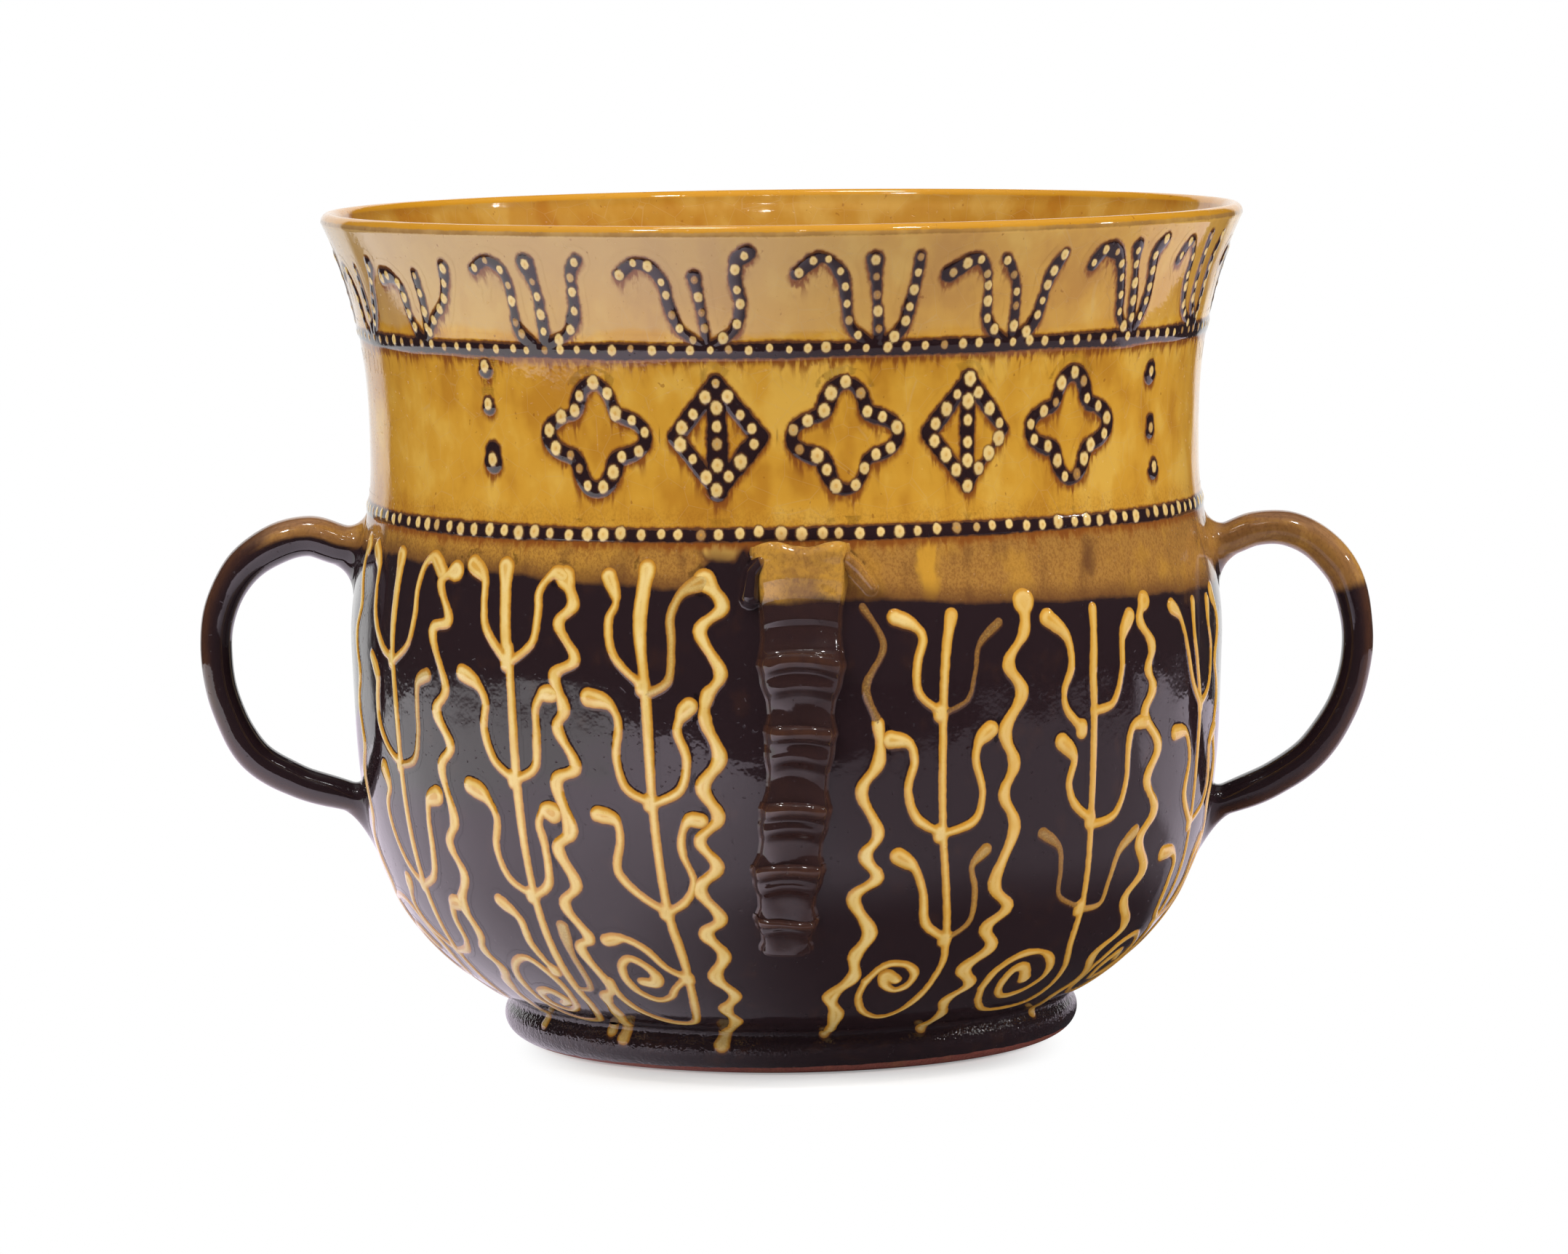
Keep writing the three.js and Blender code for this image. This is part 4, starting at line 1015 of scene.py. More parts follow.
def slip_sheet(name, strokes, material, margin, jewels=(), bleed=0.0, whole_turn=False,
               surface=wall, step=GRID_STEP):
    """A fine skin on a turned surface that rises into the strokes. Its values tell the material the
    distance to the slip's edge and which way the edge leans, the distance to the nearest jewel and
    its tone, how far the colour ran down, and thin slip."""
    grid = SlipGrid(surface, strokes, margin, bleed, whole_turn, step)
    edge, lifted, thin = grid.filled(FAR_OFF), grid.filled(0.0), grid.filled(0.0)
    for s in strokes:
        own_edge, own_lift = grid.filled(FAR_OFF), grid.filled(0.0)
        half, rise = s["half"], s["rise"]
        for i in range(len(half) - 1):
            ends = s["places"][i:i + 2]
            cells, x, y = grid.near(ends, max(half[i], half[i + 1]) + margin + 1.0)
            bx = math.radians(ends[1, 0] - ends[0, 0]) * surface.radius((ends[0, 1] + ends[1, 1]) / 2)
            by = ends[1, 1] - ends[0, 1]
            share = np.clip((x * bx + y * by) / max(bx * bx + by * by, 1e-9), 0.0, 1.0)
            width = half[i] + (half[i + 1] - half[i]) * share
            distance = np.hypot(x - share * bx, y - share * by) - width
            depth = np.clip(-distance / width, 0.0, 1.0)
            dome = (rise[i] + (rise[i + 1] - rise[i]) * share) * (1.0 - (1.0 - depth) ** 2.2) ** 0.8
            own_edge[cells] = np.minimum(own_edge[cells], distance)
            own_lift[cells] = np.maximum(own_lift[cells], dome)
        thin = np.where(own_edge < edge, s["thin"], thin)
        mix = np.clip(0.5 + 0.5 * (own_edge - edge) / RUN_TOGETHER, 0.0, 1.0)
        edge = own_edge + (edge - own_edge) * mix - RUN_TOGETHER * mix * (1.0 - mix)
        lifted = np.maximum(lifted, own_lift)

    jewel, tone = grid.filled(FAR_OFF), grid.filled(1.0)
    for turn, along, size, shade in jewels:
        cells, x, y = grid.near([(turn, along)], size + 2.0)
        distance = np.hypot(x, y / JEWEL_TALLNESS) / size
        tone[cells] = np.where(distance < jewel[cells], shade, tone[cells])
        jewel[cells] = np.minimum(jewel[cells], distance)
        lifted[cells] += JEWEL_RISE * np.clip(1.0 - distance ** 2, 0.0, 1.0)
    lean = np.clip(np.gradient(edge, grid.step_along, axis=0), -1.0, 1.0)

    run = grid.filled(0.0)
    if bleed:
        knots = np.arange(0, grid.columns + 3, 3)
        streaks = np.interp(np.arange(grid.columns), knots, random.uniform(0.15, 1.0, len(knots)))
        fade = np.exp(-grid.step_along / (bleed * 0.75 * streaks ** 1.5 + 0.3))
        inside_line = smooth(-edge / 0.4)
        run[-1] = inside_line[-1]
        for row in range(grid.rows - 2, -1, -1):
            run[row] = np.maximum(inside_line[row], run[row + 1] * fade)

    keep = (edge < margin) | (run > 0.05)
    across = np.roll(keep, -1, axis=1)
    if not whole_turn:
        keep, across = keep[:, :-1], across[:, :-1]
    cell = keep[:-1] | keep[1:] | across[:-1] | across[1:]
    quads = grid_quads(grid.rows, grid.columns, wrap=whole_turn)[cell.ravel()]
    used, quads = np.unique(quads, return_inverse=True)
    corners = surface.at(*np.meshgrid(grid.turn, grid.along), lifted + SKIN_LIFT).reshape(-1, 3)[used]
    values = {"edge": edge, "lean": lean, "jewel": jewel, "tone": tone, "run": run, "thin": thin}
    values = {key: value.ravel()[used] for key, value in values.items()}
    return make_piece(name, corners, quads, [material], values)


def dab(turn, along, size, dim):
    """One dab of cream: [turn, along, radius, tone]. Some fired dim and brown."""
    if random.uniform() < dim:
        return (turn, along, size * random.uniform(0.7, 0.95), random.uniform(0.1, 0.5))
    return (turn, along, size * random.uniform(0.78, 1.2), random.uniform(0.8, 1.0))


def dabs_along(places, spacing, size, start=0.6, end=0.1, dim=0.1, closed=False):
    """Dabs of cream set along a stroke at a hand's uneven spacing."""
    across = np.radians(np.diff(places[:, 0])) * wall.radius(places[:-1, 1])
    length = np.concatenate([[0.0], np.cumsum(np.hypot(across, np.diff(places[:, 1])))])
    first, last = start * spacing, length[-1] - end * spacing
    count = max(int(round((last - first) / spacing)) + 1, 1)
    if closed:
        first, count = 0.0, int(round(length[-1] / spacing))
        last = length[-1] * (count - 1) / count
    dabs = []
    for at in np.linspace(first, last, count):
        at += spacing * random.uniform(-0.11, 0.11)
        turn = np.interp(at, length, places[:, 0])
        along = np.interp(at, length, places[:, 1]) + random.normal(0.0, 0.2)
        dabs.append(dab(turn, along, size, dim))
    return dabs


# Sprigs that grow from the upper band: left hook, middle stroke and right stroke of each, as
# [turn, height above the lower groove] read off the wall of the real pot. The band lies at the foot
# of this field
TOP_FIELD_FOOT = 191.6
TOP_FIELD_HEIGHT = 30.55
SPRIGS = [
    [[[-89.5, 193], [-91.5, 196], [-92.5, 204], [-95, 211], [-98.5, 212], [-100.5, 209]],
     [[-88.7, 194], [-88.9, 203], [-89.4, 212]],
     [[-88, 193], [-85.5, 197], [-83.5, 205], [-82.8, 213]]],
    [[[-71.5, 192.2], [-73.6, 195.5], [-74, 203.8], [-75.7, 209.7], [-78, 210], [-79.5, 207.5]],
     [[-70.4, 193.8], [-70.2, 202.2], [-70.1, 210.5]],
     [[-69.2, 193.4], [-66.9, 200.5], [-65.2, 207.2], [-64, 212.2]]],
    [[[-54.6, 192.6], [-56.3, 199], [-56.7, 206.3], [-58.2, 209.2], [-60.2, 209.7], [-61.5, 208.2]],
     [[-53, 192.8], [-52.5, 202.2], [-52.5, 206.3], [-52.5, 210.5]],
     [[-53.3, 193], [-50.7, 198.8], [-48.2, 203], [-46.9, 208], [-46.2, 213]]],
    [[[-33.9, 192.6], [-35.7, 197.2], [-35.9, 203], [-35.9, 208.5], [-36.6, 213], [-38.6, 215.2],
      [-40.9, 212.6]],
     [[-31.7, 192.8], [-31.8, 200.5], [-31.9, 207.2], [-32.6, 214.7]],
     [[-31.1, 193], [-28.2, 196.3], [-26.9, 201.3], [-26.7, 207.2], [-26.5, 212.2], [-25.4, 215.8]]],
    [[[-9.9, 193], [-12.7, 196.8], [-14, 202.2], [-14.7, 209.7], [-16.1, 213.8], [-18.2, 214.7],
      [-20.1, 211.8]],
     [[-9.6, 193.6], [-10.2, 203.8], [-10.7, 211.3]],
     [[-8.9, 193], [-6.1, 197.2], [-5.2, 203.8], [-5.7, 210.5], [-5.3, 215.5], [-4.1, 217.6]]],
    [[[10.9, 193], [8.5, 198], [7.9, 204.7], [7.4, 210.5], [6, 214.7], [4.3, 216.1], [1.8, 211.8]],
     [[12.3, 193.4], [11.8, 203.8], [11.2, 215.5]],
     [[13, 193], [15.2, 197.2], [16, 203], [16.6, 209.7], [16.8, 216.3]]],
    [[[29.2, 192.8], [26.8, 198], [26.4, 204.7], [25.8, 211.3], [24.1, 214.9], [20.8, 211]],
     [[30.7, 193], [30.6, 202.2], [30, 208.8], [28.2, 214.7]],
     [[31.6, 192.8], [33.9, 198], [34.8, 205.5], [35.2, 209.7], [36.7, 215.5]]],
    [[[51.2, 192.8], [48.9, 197.2], [48.1, 203.8], [46.8, 211.3], [45.2, 215.2], [43.1, 215.8],
      [41.6, 211.8]],
     [[51.7, 193.4], [50.8, 203.8], [50, 209.7], [49.1, 216.3]],
     [[52.5, 193.4], [53.9, 200.5], [53.9, 207.2], [53.3, 213.7], [54.7, 217.6]]],
    [[[69.7, 192.2], [65.6, 197.2], [63.9, 205.5], [63.6, 212], [61.6, 216.6], [59.6, 211.5]],
     [[70.2, 193.4], [68.1, 200.5], [67.7, 210.5], [67.5, 217.5]],
     [[71, 192.2], [71.8, 198.8], [71.8, 210.5], [72.7, 217]]],
]


def on_top_field(turn, route):
    """A measured route over the upper band, turned to its half of the pot."""
    places = through(route)
    places[:, 0] += turn
    up = (places[:, 1] - TOP_FIELD_FOOT) / TOP_FIELD_HEIGHT
    places[:, 1] = UPPER_BAND + up * (wall.length - UPPER_BAND)
    return places


def band_route(along):
    turn = np.linspace(-180.0, 180.0, 361)
    return np.stack([turn, along + 0.35 * np.sin(np.radians(turn * 3 + 40))], axis=-1)


def make_borders():
    band = band_route(UPPER_BAND)
    strokes = [stroke(band, *UPPER_BAND_LINE, unevenness=0.1)]
    jewels = dabs_along(band + [0.0, 0.35], spacing=4.9, size=1.0, dim=0.42)
    for half_turn in (FRONT, BACK):
        for sprig in SPRIGS:
            for arm in sprig:
                route = on_top_field(half_turn, arm)
                strokes.append(stroke(route, *SPRIG_LINE, tip=1.2, unevenness=0.2))
                jewels += dabs_along(route, spacing=4.5, size=1.06, start=0.75, end=0.15, dim=0.16)
    piece = slip_sheet("jewelled_upper_border", strokes, jewelled_slip, DARK_SLIP_MARGIN, jewels, bleed=4.0,
                       whole_turn=True)
    settle(piece, "dark_slip", "upper_border")
    band = band_route(LOWER_BAND)
    strokes = [stroke(band, *LOWER_BAND_LINE, unevenness=0.06)]
    jewels = dabs_along(band + [0.0, 0.2], spacing=5.0, size=1.25, dim=0.08)
    piece = slip_sheet("jewelled_lower_border", strokes, jewelled_slip, DARK_SLIP_MARGIN, jewels, bleed=3.0,
                       whole_turn=True)
    settle(piece, "dark_slip", "lower_border")


# Frieze: quatrefoils and barred lozenges by turns, with columns of dots as [turn, height, width, length]
FRIEZE_UNITS = 46
FRIEZE_UNIT = (UPPER_BAND - LOWER_BAND) / FRIEZE_UNITS
MOTIF_TURNS = [-25.3, -8.7, 8, 24.7, 41.3]
MOTIF_HEIGHT = 24.5
QUATREFOIL_RADIUS = 10.8
QUATREFOIL_LOBES = 0.24
LOZENGE_HALF_WIDTH = 10.5
LOZENGE_HALF_HEIGHT = 13.5
DOTS = [
    [-42.3, 41, 5.2, 5.2],
    [-42.3, 31.5, 4.8, 5.6],
    [-41.9, 18.5, 6.4, 9.2],
    [58, 36.5, 6, 7.2],
    [58.7, 22.5, 4.8, 7.2],
    [59.7, 11.5, 6, 6.6],
]


def on_frieze(turn, offsets):
    """Places on the frieze from offsets across it and up from the lower band."""
    offsets = np.asarray(offsets, dtype=float)
    along = LOWER_BAND + offsets[:, 1] * FRIEZE_UNIT
    across = np.degrees(offsets[:, 0] * FRIEZE_UNIT / wall.radius(along))
    return np.stack([turn + across, along], axis=-1)


def quatrefoil_routes():
    """One closed line round four lobes."""
    angle = np.linspace(0.0, 2 * math.pi, 97)
    radius = QUATREFOIL_RADIUS * (1.0 + QUATREFOIL_LOBES * np.cos(4 * angle))
    outline = np.stack([radius * np.sin(angle), MOTIF_HEIGHT + radius * np.cos(angle)], axis=-1)
    return [(outline, True)]


def lozenge_routes():
    """Four sides and an upright bar."""
    across = [0.0, LOZENGE_HALF_WIDTH, 0.0, -LOZENGE_HALF_WIDTH, 0.0]
    up = [LOZENGE_HALF_HEIGHT, 0.0, -LOZENGE_HALF_HEIGHT, 0.0, LOZENGE_HALF_HEIGHT]
    corners = np.stack([across, np.add(up, MOTIF_HEIGHT)], axis=-1)
    sides = [np.linspace(a, b, 12, endpoint=False) for a, b in zip(corners[:-1], corners[1:])]
    outline = np.concatenate([*sides, corners[-1:]])
    return [(outline, True), (np.linspace(corners[0], corners[2], 20), False)]


def make_frieze():
    halves = (FRONT, BACK)
    motifs = [(half_turn + turn, lozenge_routes if i % 2 else quatrefoil_routes)
              for half_turn in halves for i, turn in enumerate(MOTIF_TURNS)]
    for number, (turn, routes) in enumerate(motifs, 1):
        strokes, jewels = [], []
        for offsets, closed in routes():
            route = on_frieze(turn, offsets)
            strokes.append(stroke(route, *MOTIF_LINE, unevenness=0.2))
            jewels += dabs_along(route, spacing=4.9, size=1.34, start=1.25, end=1.25, dim=0.12, closed=closed)
        piece = slip_sheet("jewelled_motif_%d" % number, strokes, jewelled_slip, DARK_SLIP_MARGIN, jewels,
                           bleed=4.0)
        settle(piece, "dark_slip", "motif_%d" % number)
    dots = [(half_turn + turn, *dot) for half_turn in halves for turn, *dot in DOTS]
    for number, (turn, height, width, length) in enumerate(dots, 1):
        tall = max((length - width) / 2, 0.3)
        route = on_frieze(turn, [[0, height + tall], [0, height - tall]])
        drop = stroke(route, width, DOT_RISE, unevenness=0.0)
        drop["half"] = np.array([0.8, 1.0]) * width / 2
        jewels = [dab(route[1, 0], route[1, 1] + 0.5, size=1.35, dim=0.2)]
        piece = slip_sheet("jewelled_dot_%d" % number, [drop], jewelled_slip, DARK_SLIP_MARGIN, jewels,
                           bleed=3.5)
        settle(piece, "dark_slip", "dot_%d" % number)


# Lower field, as [turn, height above the lower groove] read off the wall of the real pot.
# The lower band lies at its top. Wavy lines: the bends of each from its head down
LOWER_FIELD_HEIGHT = 145.2
WAVES = [
    [[-75.7, 137], [-76.9, 131], [-74.6, 122], [-76.3, 114], [-75, 104], [-76.6, 96], [-74.9, 86],
     [-76.6, 78], [-75.2, 68], [-77.6, 60], [-76.2, 50], [-79, 42], [-78, 33], [-81, 24], [-82, 13]],
    [[-47.8, 134.2], [-50.7, 131], [-48.2, 122], [-51.3, 118.7], [-48.6, 105.3], [-50.7, 98.7],
     [-48.2, 90.3], [-50.3, 84.5], [-48.6, 72], [-50.3, 65.3], [-48.6, 57], [-51.1, 48.7],
     [-50.3, 40.3], [-51.9, 33.7], [-50.7, 27.8], [-53.6, 20.3], [-55.3, 12], [-57, 4]],
    [[-29.4, 134.5], [-27.9, 127.8], [-29.8, 122.8], [-27.3, 114.5], [-30.2, 110.3], [-29, 102],
     [-30, 97], [-27.6, 87.8], [-30.5, 83.7], [-28.9, 72], [-31, 67], [-29, 57.8], [-31.4, 52],
     [-29, 42.8], [-31, 38.7], [-29, 25.3], [-31.5, 20.3], [-32.3, 12], [-33.6, 4]],
    [[-10.4, 134.5], [-8, 128], [-10.8, 122], [-8.2, 112], [-9.9, 106.2], [-10.2, 100], [-8.5, 91],
     [-10.7, 83.7], [-8.8, 76.2], [-11.3, 70.3], [-9.2, 63.7], [-11.7, 57.8], [-9.2, 50],
     [-11.4, 45.3], [-9.3, 38.7], [-11.1, 31], [-8.7, 23.7], [-10.9, 17], [-9.8, 10.3], [-12.6, 2.5]],
    [[9.6, 127.5], [12.1, 118], [9.8, 108], [11.3, 98.7], [11.4, 89.5], [9.2, 82], [11.4, 72],
     [9.8, 66], [11.4, 60.3], [8.4, 55], [10.9, 45.3], [9.2, 38], [9.3, 30.3], [6.3, 22.8],
     [7.8, 14], [7.4, 2.5]],
    [[31.6, 127], [31.3, 119.5], [28.8, 112], [30.8, 104.5], [28.4, 95.3], [29.8, 87], [28.4, 79.5],
     [30.2, 71], [28, 57], [30.7, 50], [28.1, 44.3], [29.9, 38], [26.8, 31.2], [29.3, 24.5],
     [26.8, 17.7], [28.3, 9.5], [27.2, 2.8]],
    [[53, 124], [51.6, 119.3], [53.9, 112.7], [53.1, 107], [54.3, 101.7], [52.6, 95.3], [56, 87],
     [53.7, 78.7], [56.2, 70.7], [53.5, 63.2], [56.2, 54.7], [53.8, 47], [57.9, 37.5], [54.5, 29.3],
     [58, 19.5], [56.5, 11], [58, 3.5]],
    [[75.4, 122], [77.6, 114], [76, 105], [78.2, 96], [76.8, 86], [79, 77], [77.6, 67], [79.6, 58],
     [78.4, 48], [80.6, 39], [79.6, 29], [81.4, 20], [80.8, 11]],
]

WAVE_WITH_THIN_TOP = 4

# Stems: the middle stroke down to its tail, the coil, and the arms from each joint out to its head
STEMS = [
    {"trunk": [[-61.5, 136.3], [-61.1, 110.5], [-60.4, 84.7], [-59.8, 53], [-61.5, 31.3], [-62.8, 20],
               [-66, 10], [-73, 9], [-80, 15], [-83.5, 28]],
     "coil": [[-83.5, 28], [-80, 42], [-71, 45], [-66.2, 33], [-69.5, 20], [-76, 20], [-78, 30],
              [-74.5, 36], [-71.5, 30]],
     "arms": [[[-61.5, 110.2], [-64.4, 113], [-67.3, 119.7], [-68.4, 127.2], [-68.8, 133], [-71, 136.6]],
              [[-60.4, 110.2], [-56.9, 114.7], [-55.7, 122.2], [-55.8, 128.8], [-54.8, 134.7],
               [-52.8, 137], [-50.7, 133.6]],
              [[-60.7, 83.8], [-64, 87.2], [-66.5, 93], [-66.8, 98.8], [-66.4, 105], [-68.2, 109.8]],
              [[-60, 83.4], [-56.5, 85.5], [-55.2, 92.2], [-55.1, 98.8], [-54.7, 105.2], [-52.4, 107.6]],
              [[-60.3, 52.2], [-63.2, 57.2], [-65.5, 65.5], [-66.1, 72.2], [-64.8, 77], [-66, 81.3]],
              [[-59.5, 52.2], [-56.1, 55.5], [-54.7, 62.2], [-54.4, 70.5], [-53.8, 75.5], [-51.8, 77.2]],
              [[-61.8, 31.6], [-65.7, 37.2], [-67.3, 43.8], [-66.1, 48.8], [-65, 52.5]],
              [[-61.1, 31.3], [-57.3, 33], [-55.2, 37.2], [-54.8, 43.8], [-53.6, 48], [-51.9, 48.8]]]},
    {"trunk": [[-38.8, 136.3], [-37.8, 118.8], [-37.1, 113], [-36.7, 84.7], [-36.1, 54.7], [-36.2, 23],
               [-36.6, 14], [-39, 6], [-43.5, 4.5], [-47.3, 7.6], [-49, 15.5]],
     "coil": [[-49, 15.5], [-48.2, 24.7], [-45.7, 31.3], [-41.9, 33.3], [-39, 25], [-39.8, 15.5],
              [-43.2, 10.4], [-46.4, 13], [-46.3, 18.4], [-43.2, 20.4], [-41.3, 16.4], [-43.2, 13.8]],
     "arms": [[[-37.6, 113], [-41.1, 120.5], [-41.9, 127.2], [-42.3, 133], [-44.5, 136.2]],
              [[-36.8, 113], [-33.6, 118], [-33, 125.5], [-33, 131], [-31, 135.3], [-29.6, 134.6]],
              [[-37.2, 83.8], [-40.2, 88], [-41.7, 95.5], [-41.3, 102.5], [-42.8, 107], [-45.2, 109.2]],
              [[-36.4, 83.8], [-33.6, 87.2], [-33.2, 95.5], [-33.2, 101.8], [-32, 105.3], [-30.6, 105.6]],
              [[-36.6, 54], [-39.8, 58], [-41.1, 65.5], [-40.5, 73.4], [-42.3, 78.8], [-44.8, 81]],
              [[-35.7, 54], [-33.2, 58], [-33, 67.2], [-33.6, 73], [-32.6, 76.4], [-31.3, 76]],
              [[-38.2, 30.2], [-39.8, 38.8], [-40, 46.6], [-42.7, 51.4]],
              [[-36.2, 23.2], [-33.6, 23.4], [-32.7, 28], [-33, 37.2], [-32.8, 45.5]]]},
    {"trunk": [[-17.9, 137.2], [-18.6, 123.8], [-17.8, 107], [-17.3, 79.7], [-16.3, 51.3], [-15.5, 40.5],
               [-15.3, 30.5], [-16.1, 17.2], [-17.8, 9], [-22.3, 8.6], [-26.5, 13.8], [-28.4, 21],
               [-28.7, 28]],
     "coil": [[-15.5, 30.5], [-17.8, 26.3], [-19.4, 22.2], [-21.9, 20.6], [-24.4, 23.8], [-25.5, 28.8],
              [-25.3, 33.8], [-23.6, 36.6], [-21.5, 34.4], [-20.3, 30.8], [-21, 28], [-22.8, 28.2]],
     "arms": [[[-18.2, 108.4], [-21.9, 115.5], [-22.8, 123.8], [-21.9, 129], [-23.1, 135]],
              [[-17.6, 106.4], [-14.8, 110], [-14.4, 119], [-14.6, 125.5], [-13.2, 131.3], [-10.6, 134]],
              [[-17.6, 79.7], [-20.7, 83], [-21.9, 90.5], [-21.5, 99.2], [-22.8, 103.8], [-25.4, 105.2]],
              [[-17, 79.4], [-13.6, 83], [-12.7, 90.5], [-13.8, 97.2], [-13.2, 101.3], [-12.2, 103.7]],
              [[-16.6, 51.5], [-20.2, 56.3], [-22.6, 62.2], [-21.9, 70], [-22.4, 74.9], [-24.8, 76.3]],
              [[-16, 51.5], [-13.6, 54.7], [-12.4, 60], [-13.6, 66.8], [-13.6, 71.8], [-12.6, 75.4],
               [-11.1, 75.4]],
              [[-15.5, 30.5], [-18.2, 33.8], [-20.7, 40], [-23.6, 43], [-26.2, 42.2]]]},
    {"trunk": [[21.2, 124.7], [20.2, 115.5], [19.8, 100.8], [20, 71], [22.2, 42.2], [22.7, 33.8],
               [21.4, 22.2], [18.9, 14], [15.6, 11.3], [12.3, 15], [10.8, 22.2], [11.4, 28.8]],
     "coil": [[11.4, 28.8], [13, 33], [14.8, 34.8], [17.3, 34], [18.8, 30.5], [18.1, 26], [16.2, 24.6],
              [14.4, 27.4], [14.3, 31], [16.1, 28.6]],
     "arms": [[[19.4, 101], [16.6, 106], [16.4, 113], [17.2, 119.3], [16, 122.6], [13.7, 124.7]],
              [[20, 100.8], [23.1, 103.8], [24.1, 110.5], [24.8, 117.2], [27.7, 122.2]],
              [[19.6, 71], [16.4, 75], [15.2, 82.2], [16, 89.3], [15.2, 93.8], [12.9, 94.8]],
              [[20.4, 70.8], [24.3, 73.6], [25.3, 80.5], [24.3, 88.5], [24.8, 93.4], [26.3, 96]],
              [[22, 42.2], [18.7, 47], [17.8, 55.5], [16.4, 62.2], [14.1, 65.7]],
              [[22.5, 42.2], [25.2, 46.8], [25.2, 55.5], [24.4, 61.8], [26.2, 66]]]},
    {"trunk": [[42.7, 123.8], [42.2, 108.8], [42.5, 98.4], [42.8, 70.5], [44.3, 47.2], [45.6, 35.5],
               [48.5, 25.5], [49.4, 17.2], [48, 11], [43.5, 8.8], [37.7, 9.7], [33.9, 15.5],
               [32.3, 22.2]],
     "coil": [[32.3, 22.2], [32.9, 28.8], [36, 33.8], [40.2, 34], [43.5, 29.8], [44.7, 23.8],
              [42.7, 18.6], [39.3, 16.4], [36.8, 18.8], [35.8, 23.8], [36.5, 28.6], [38.4, 28.8],
              [40.3, 23.8]],
     "arms": [[[40.4, 94.2], [37.8, 99.4], [37.4, 104.4], [38.5, 110], [37.8, 117.4], [35, 122.4]],
              [[42.5, 98.2], [46, 99.7], [47.5, 107.2], [47.7, 115.5], [49.5, 120.7]],
              [[42.6, 71], [39.7, 75.2], [38.5, 80.5], [39.2, 87], [37.1, 91.4]],
              [[43, 69.4], [47.2, 71.3], [49, 78.8], [49.3, 88.4], [50.2, 93], [52.7, 93.8]],
              [[43.9, 47.2], [39.3, 51.3], [38.5, 58.8], [37.7, 64.7], [34.7, 68.8]],
              [[44.7, 46.4], [48.1, 47.2], [48.5, 53.8], [49.3, 61.3], [52.2, 66]]]},
    {"trunk": [[66.4, 121.3], [66, 113.8], [67.3, 105.5], [68.8, 94.5], [68.5, 80], [68.9, 64.5],
               [70.2, 52.2], [71, 36.3], [73, 24], [71.5, 12], [65, 9], [59.5, 14], [58.6, 24]],
     "coil": [[58.6, 24], [61, 31], [65.5, 33], [69.5, 27], [68.5, 18.5], [64, 16.5], [61.8, 22],
              [64, 27], [66, 24]],
     "arms": [[[69, 94.7], [66, 100.5], [63.9, 108.8], [61.8, 118], [59.6, 121.4]],
              [[69.2, 94.7], [72.6, 99], [73.2, 108], [72, 115], [72.4, 120.6]],
              [[68.4, 64.4], [64.8, 72.2], [65.6, 81.6], [63.9, 88.4], [60.4, 89.2]],
              [[69.4, 64.6], [73.5, 68], [75.2, 73.8], [74.3, 83], [77, 87.2]],
              [[70.6, 36.3], [67.7, 40.5], [66.4, 48.8], [66, 54.4], [63.9, 57.7], [60.8, 58]],
              [[71.4, 36.3], [75.2, 39], [76.4, 46], [75.6, 53], [77.6, 58]]]},
]

# Stems trailed with a lighter hand, and how lean it made them
LIGHT_STEMS = (3, 4, 5)
LIGHT_HAND = 0.82

# Arms where the slip ran thin and fired brown, by stem and arm
THIN_ARMS = {0: {3: 0.3}, 1: {7: 0.4}, 2: {1: 0.3}, 3: {1: 0.9, 5: 0.5}, 4: {4: 0.75, 5: 0.35}}

# The smeared corners at the top of a strap, as [turn, distance up the wall]
LEFT_EAR = [[-2.8, 141.4], [-4.1, 138.2], [-4.5, 132.4]]
RIGHT_EAR = [[7.8, 141.2], [9.2, 138.6], [10.8, 134.2]]

# Drips on the foot, under the wavy lines of both halves: turn, length and width
FOOT_DRIPS = [(-57.0, 3.6, 3.0), (-37.0, 2.6, 3.2), (-33.8, 4.2, 3.6), (-12.7, 4.4, 3.9), (7.3, 1.3, 3.2),
              (27.3, 1.5, 3.1), (58.0, 1.9, 3.0), (123.0, 3.6, 3.0), (146.2, 4.6, 3.4), (167.3, 4.0, 3.8),
              (-172.7, 1.4, 3.2), (-152.7, 3.4, 3.1), (-122.0, 1.9, 3.0)]


def on_lower_field(turn, route):
    """A measured route under the lower band, turned to its half of the pot."""
    places = through(route)
    places[:, 0] += turn
    places[:, 1] *= LOWER_BAND / LOWER_FIELD_HEIGHT
    return places


def wave_lines(turn, bends, thin_top):
    """A wavy line: fat at each bend, with a head where the trailer first touched the wall."""
    steps_per_bend = 10
    line = stroke(on_lower_field(turn, bends), *WAVE_LINE, unevenness=0.09)
    count = len(line["half"])
    step = np.arange(count)
    fat = 1.0 + 0.15 * np.cos(2 * math.pi * step / steps_per_bend) + 0.7 * np.exp(-(step / 4.0) ** 2)
    line["half"] *= fat * (1.0 + 0.12 * step / count)
    if not thin_top:
        return [line]
    del line["thin"]
    cut = 3 * steps_per_bend
    top = {key: value[:cut + 1].copy() for key, value in line.items()}
    rest = {key: value[cut:] for key, value in line.items()}
    top["half"] *= np.linspace(0.34, 0.7, cut + 1)
    return [{**top, "thin": 0.9}, {**rest, "thin": 0.0}]


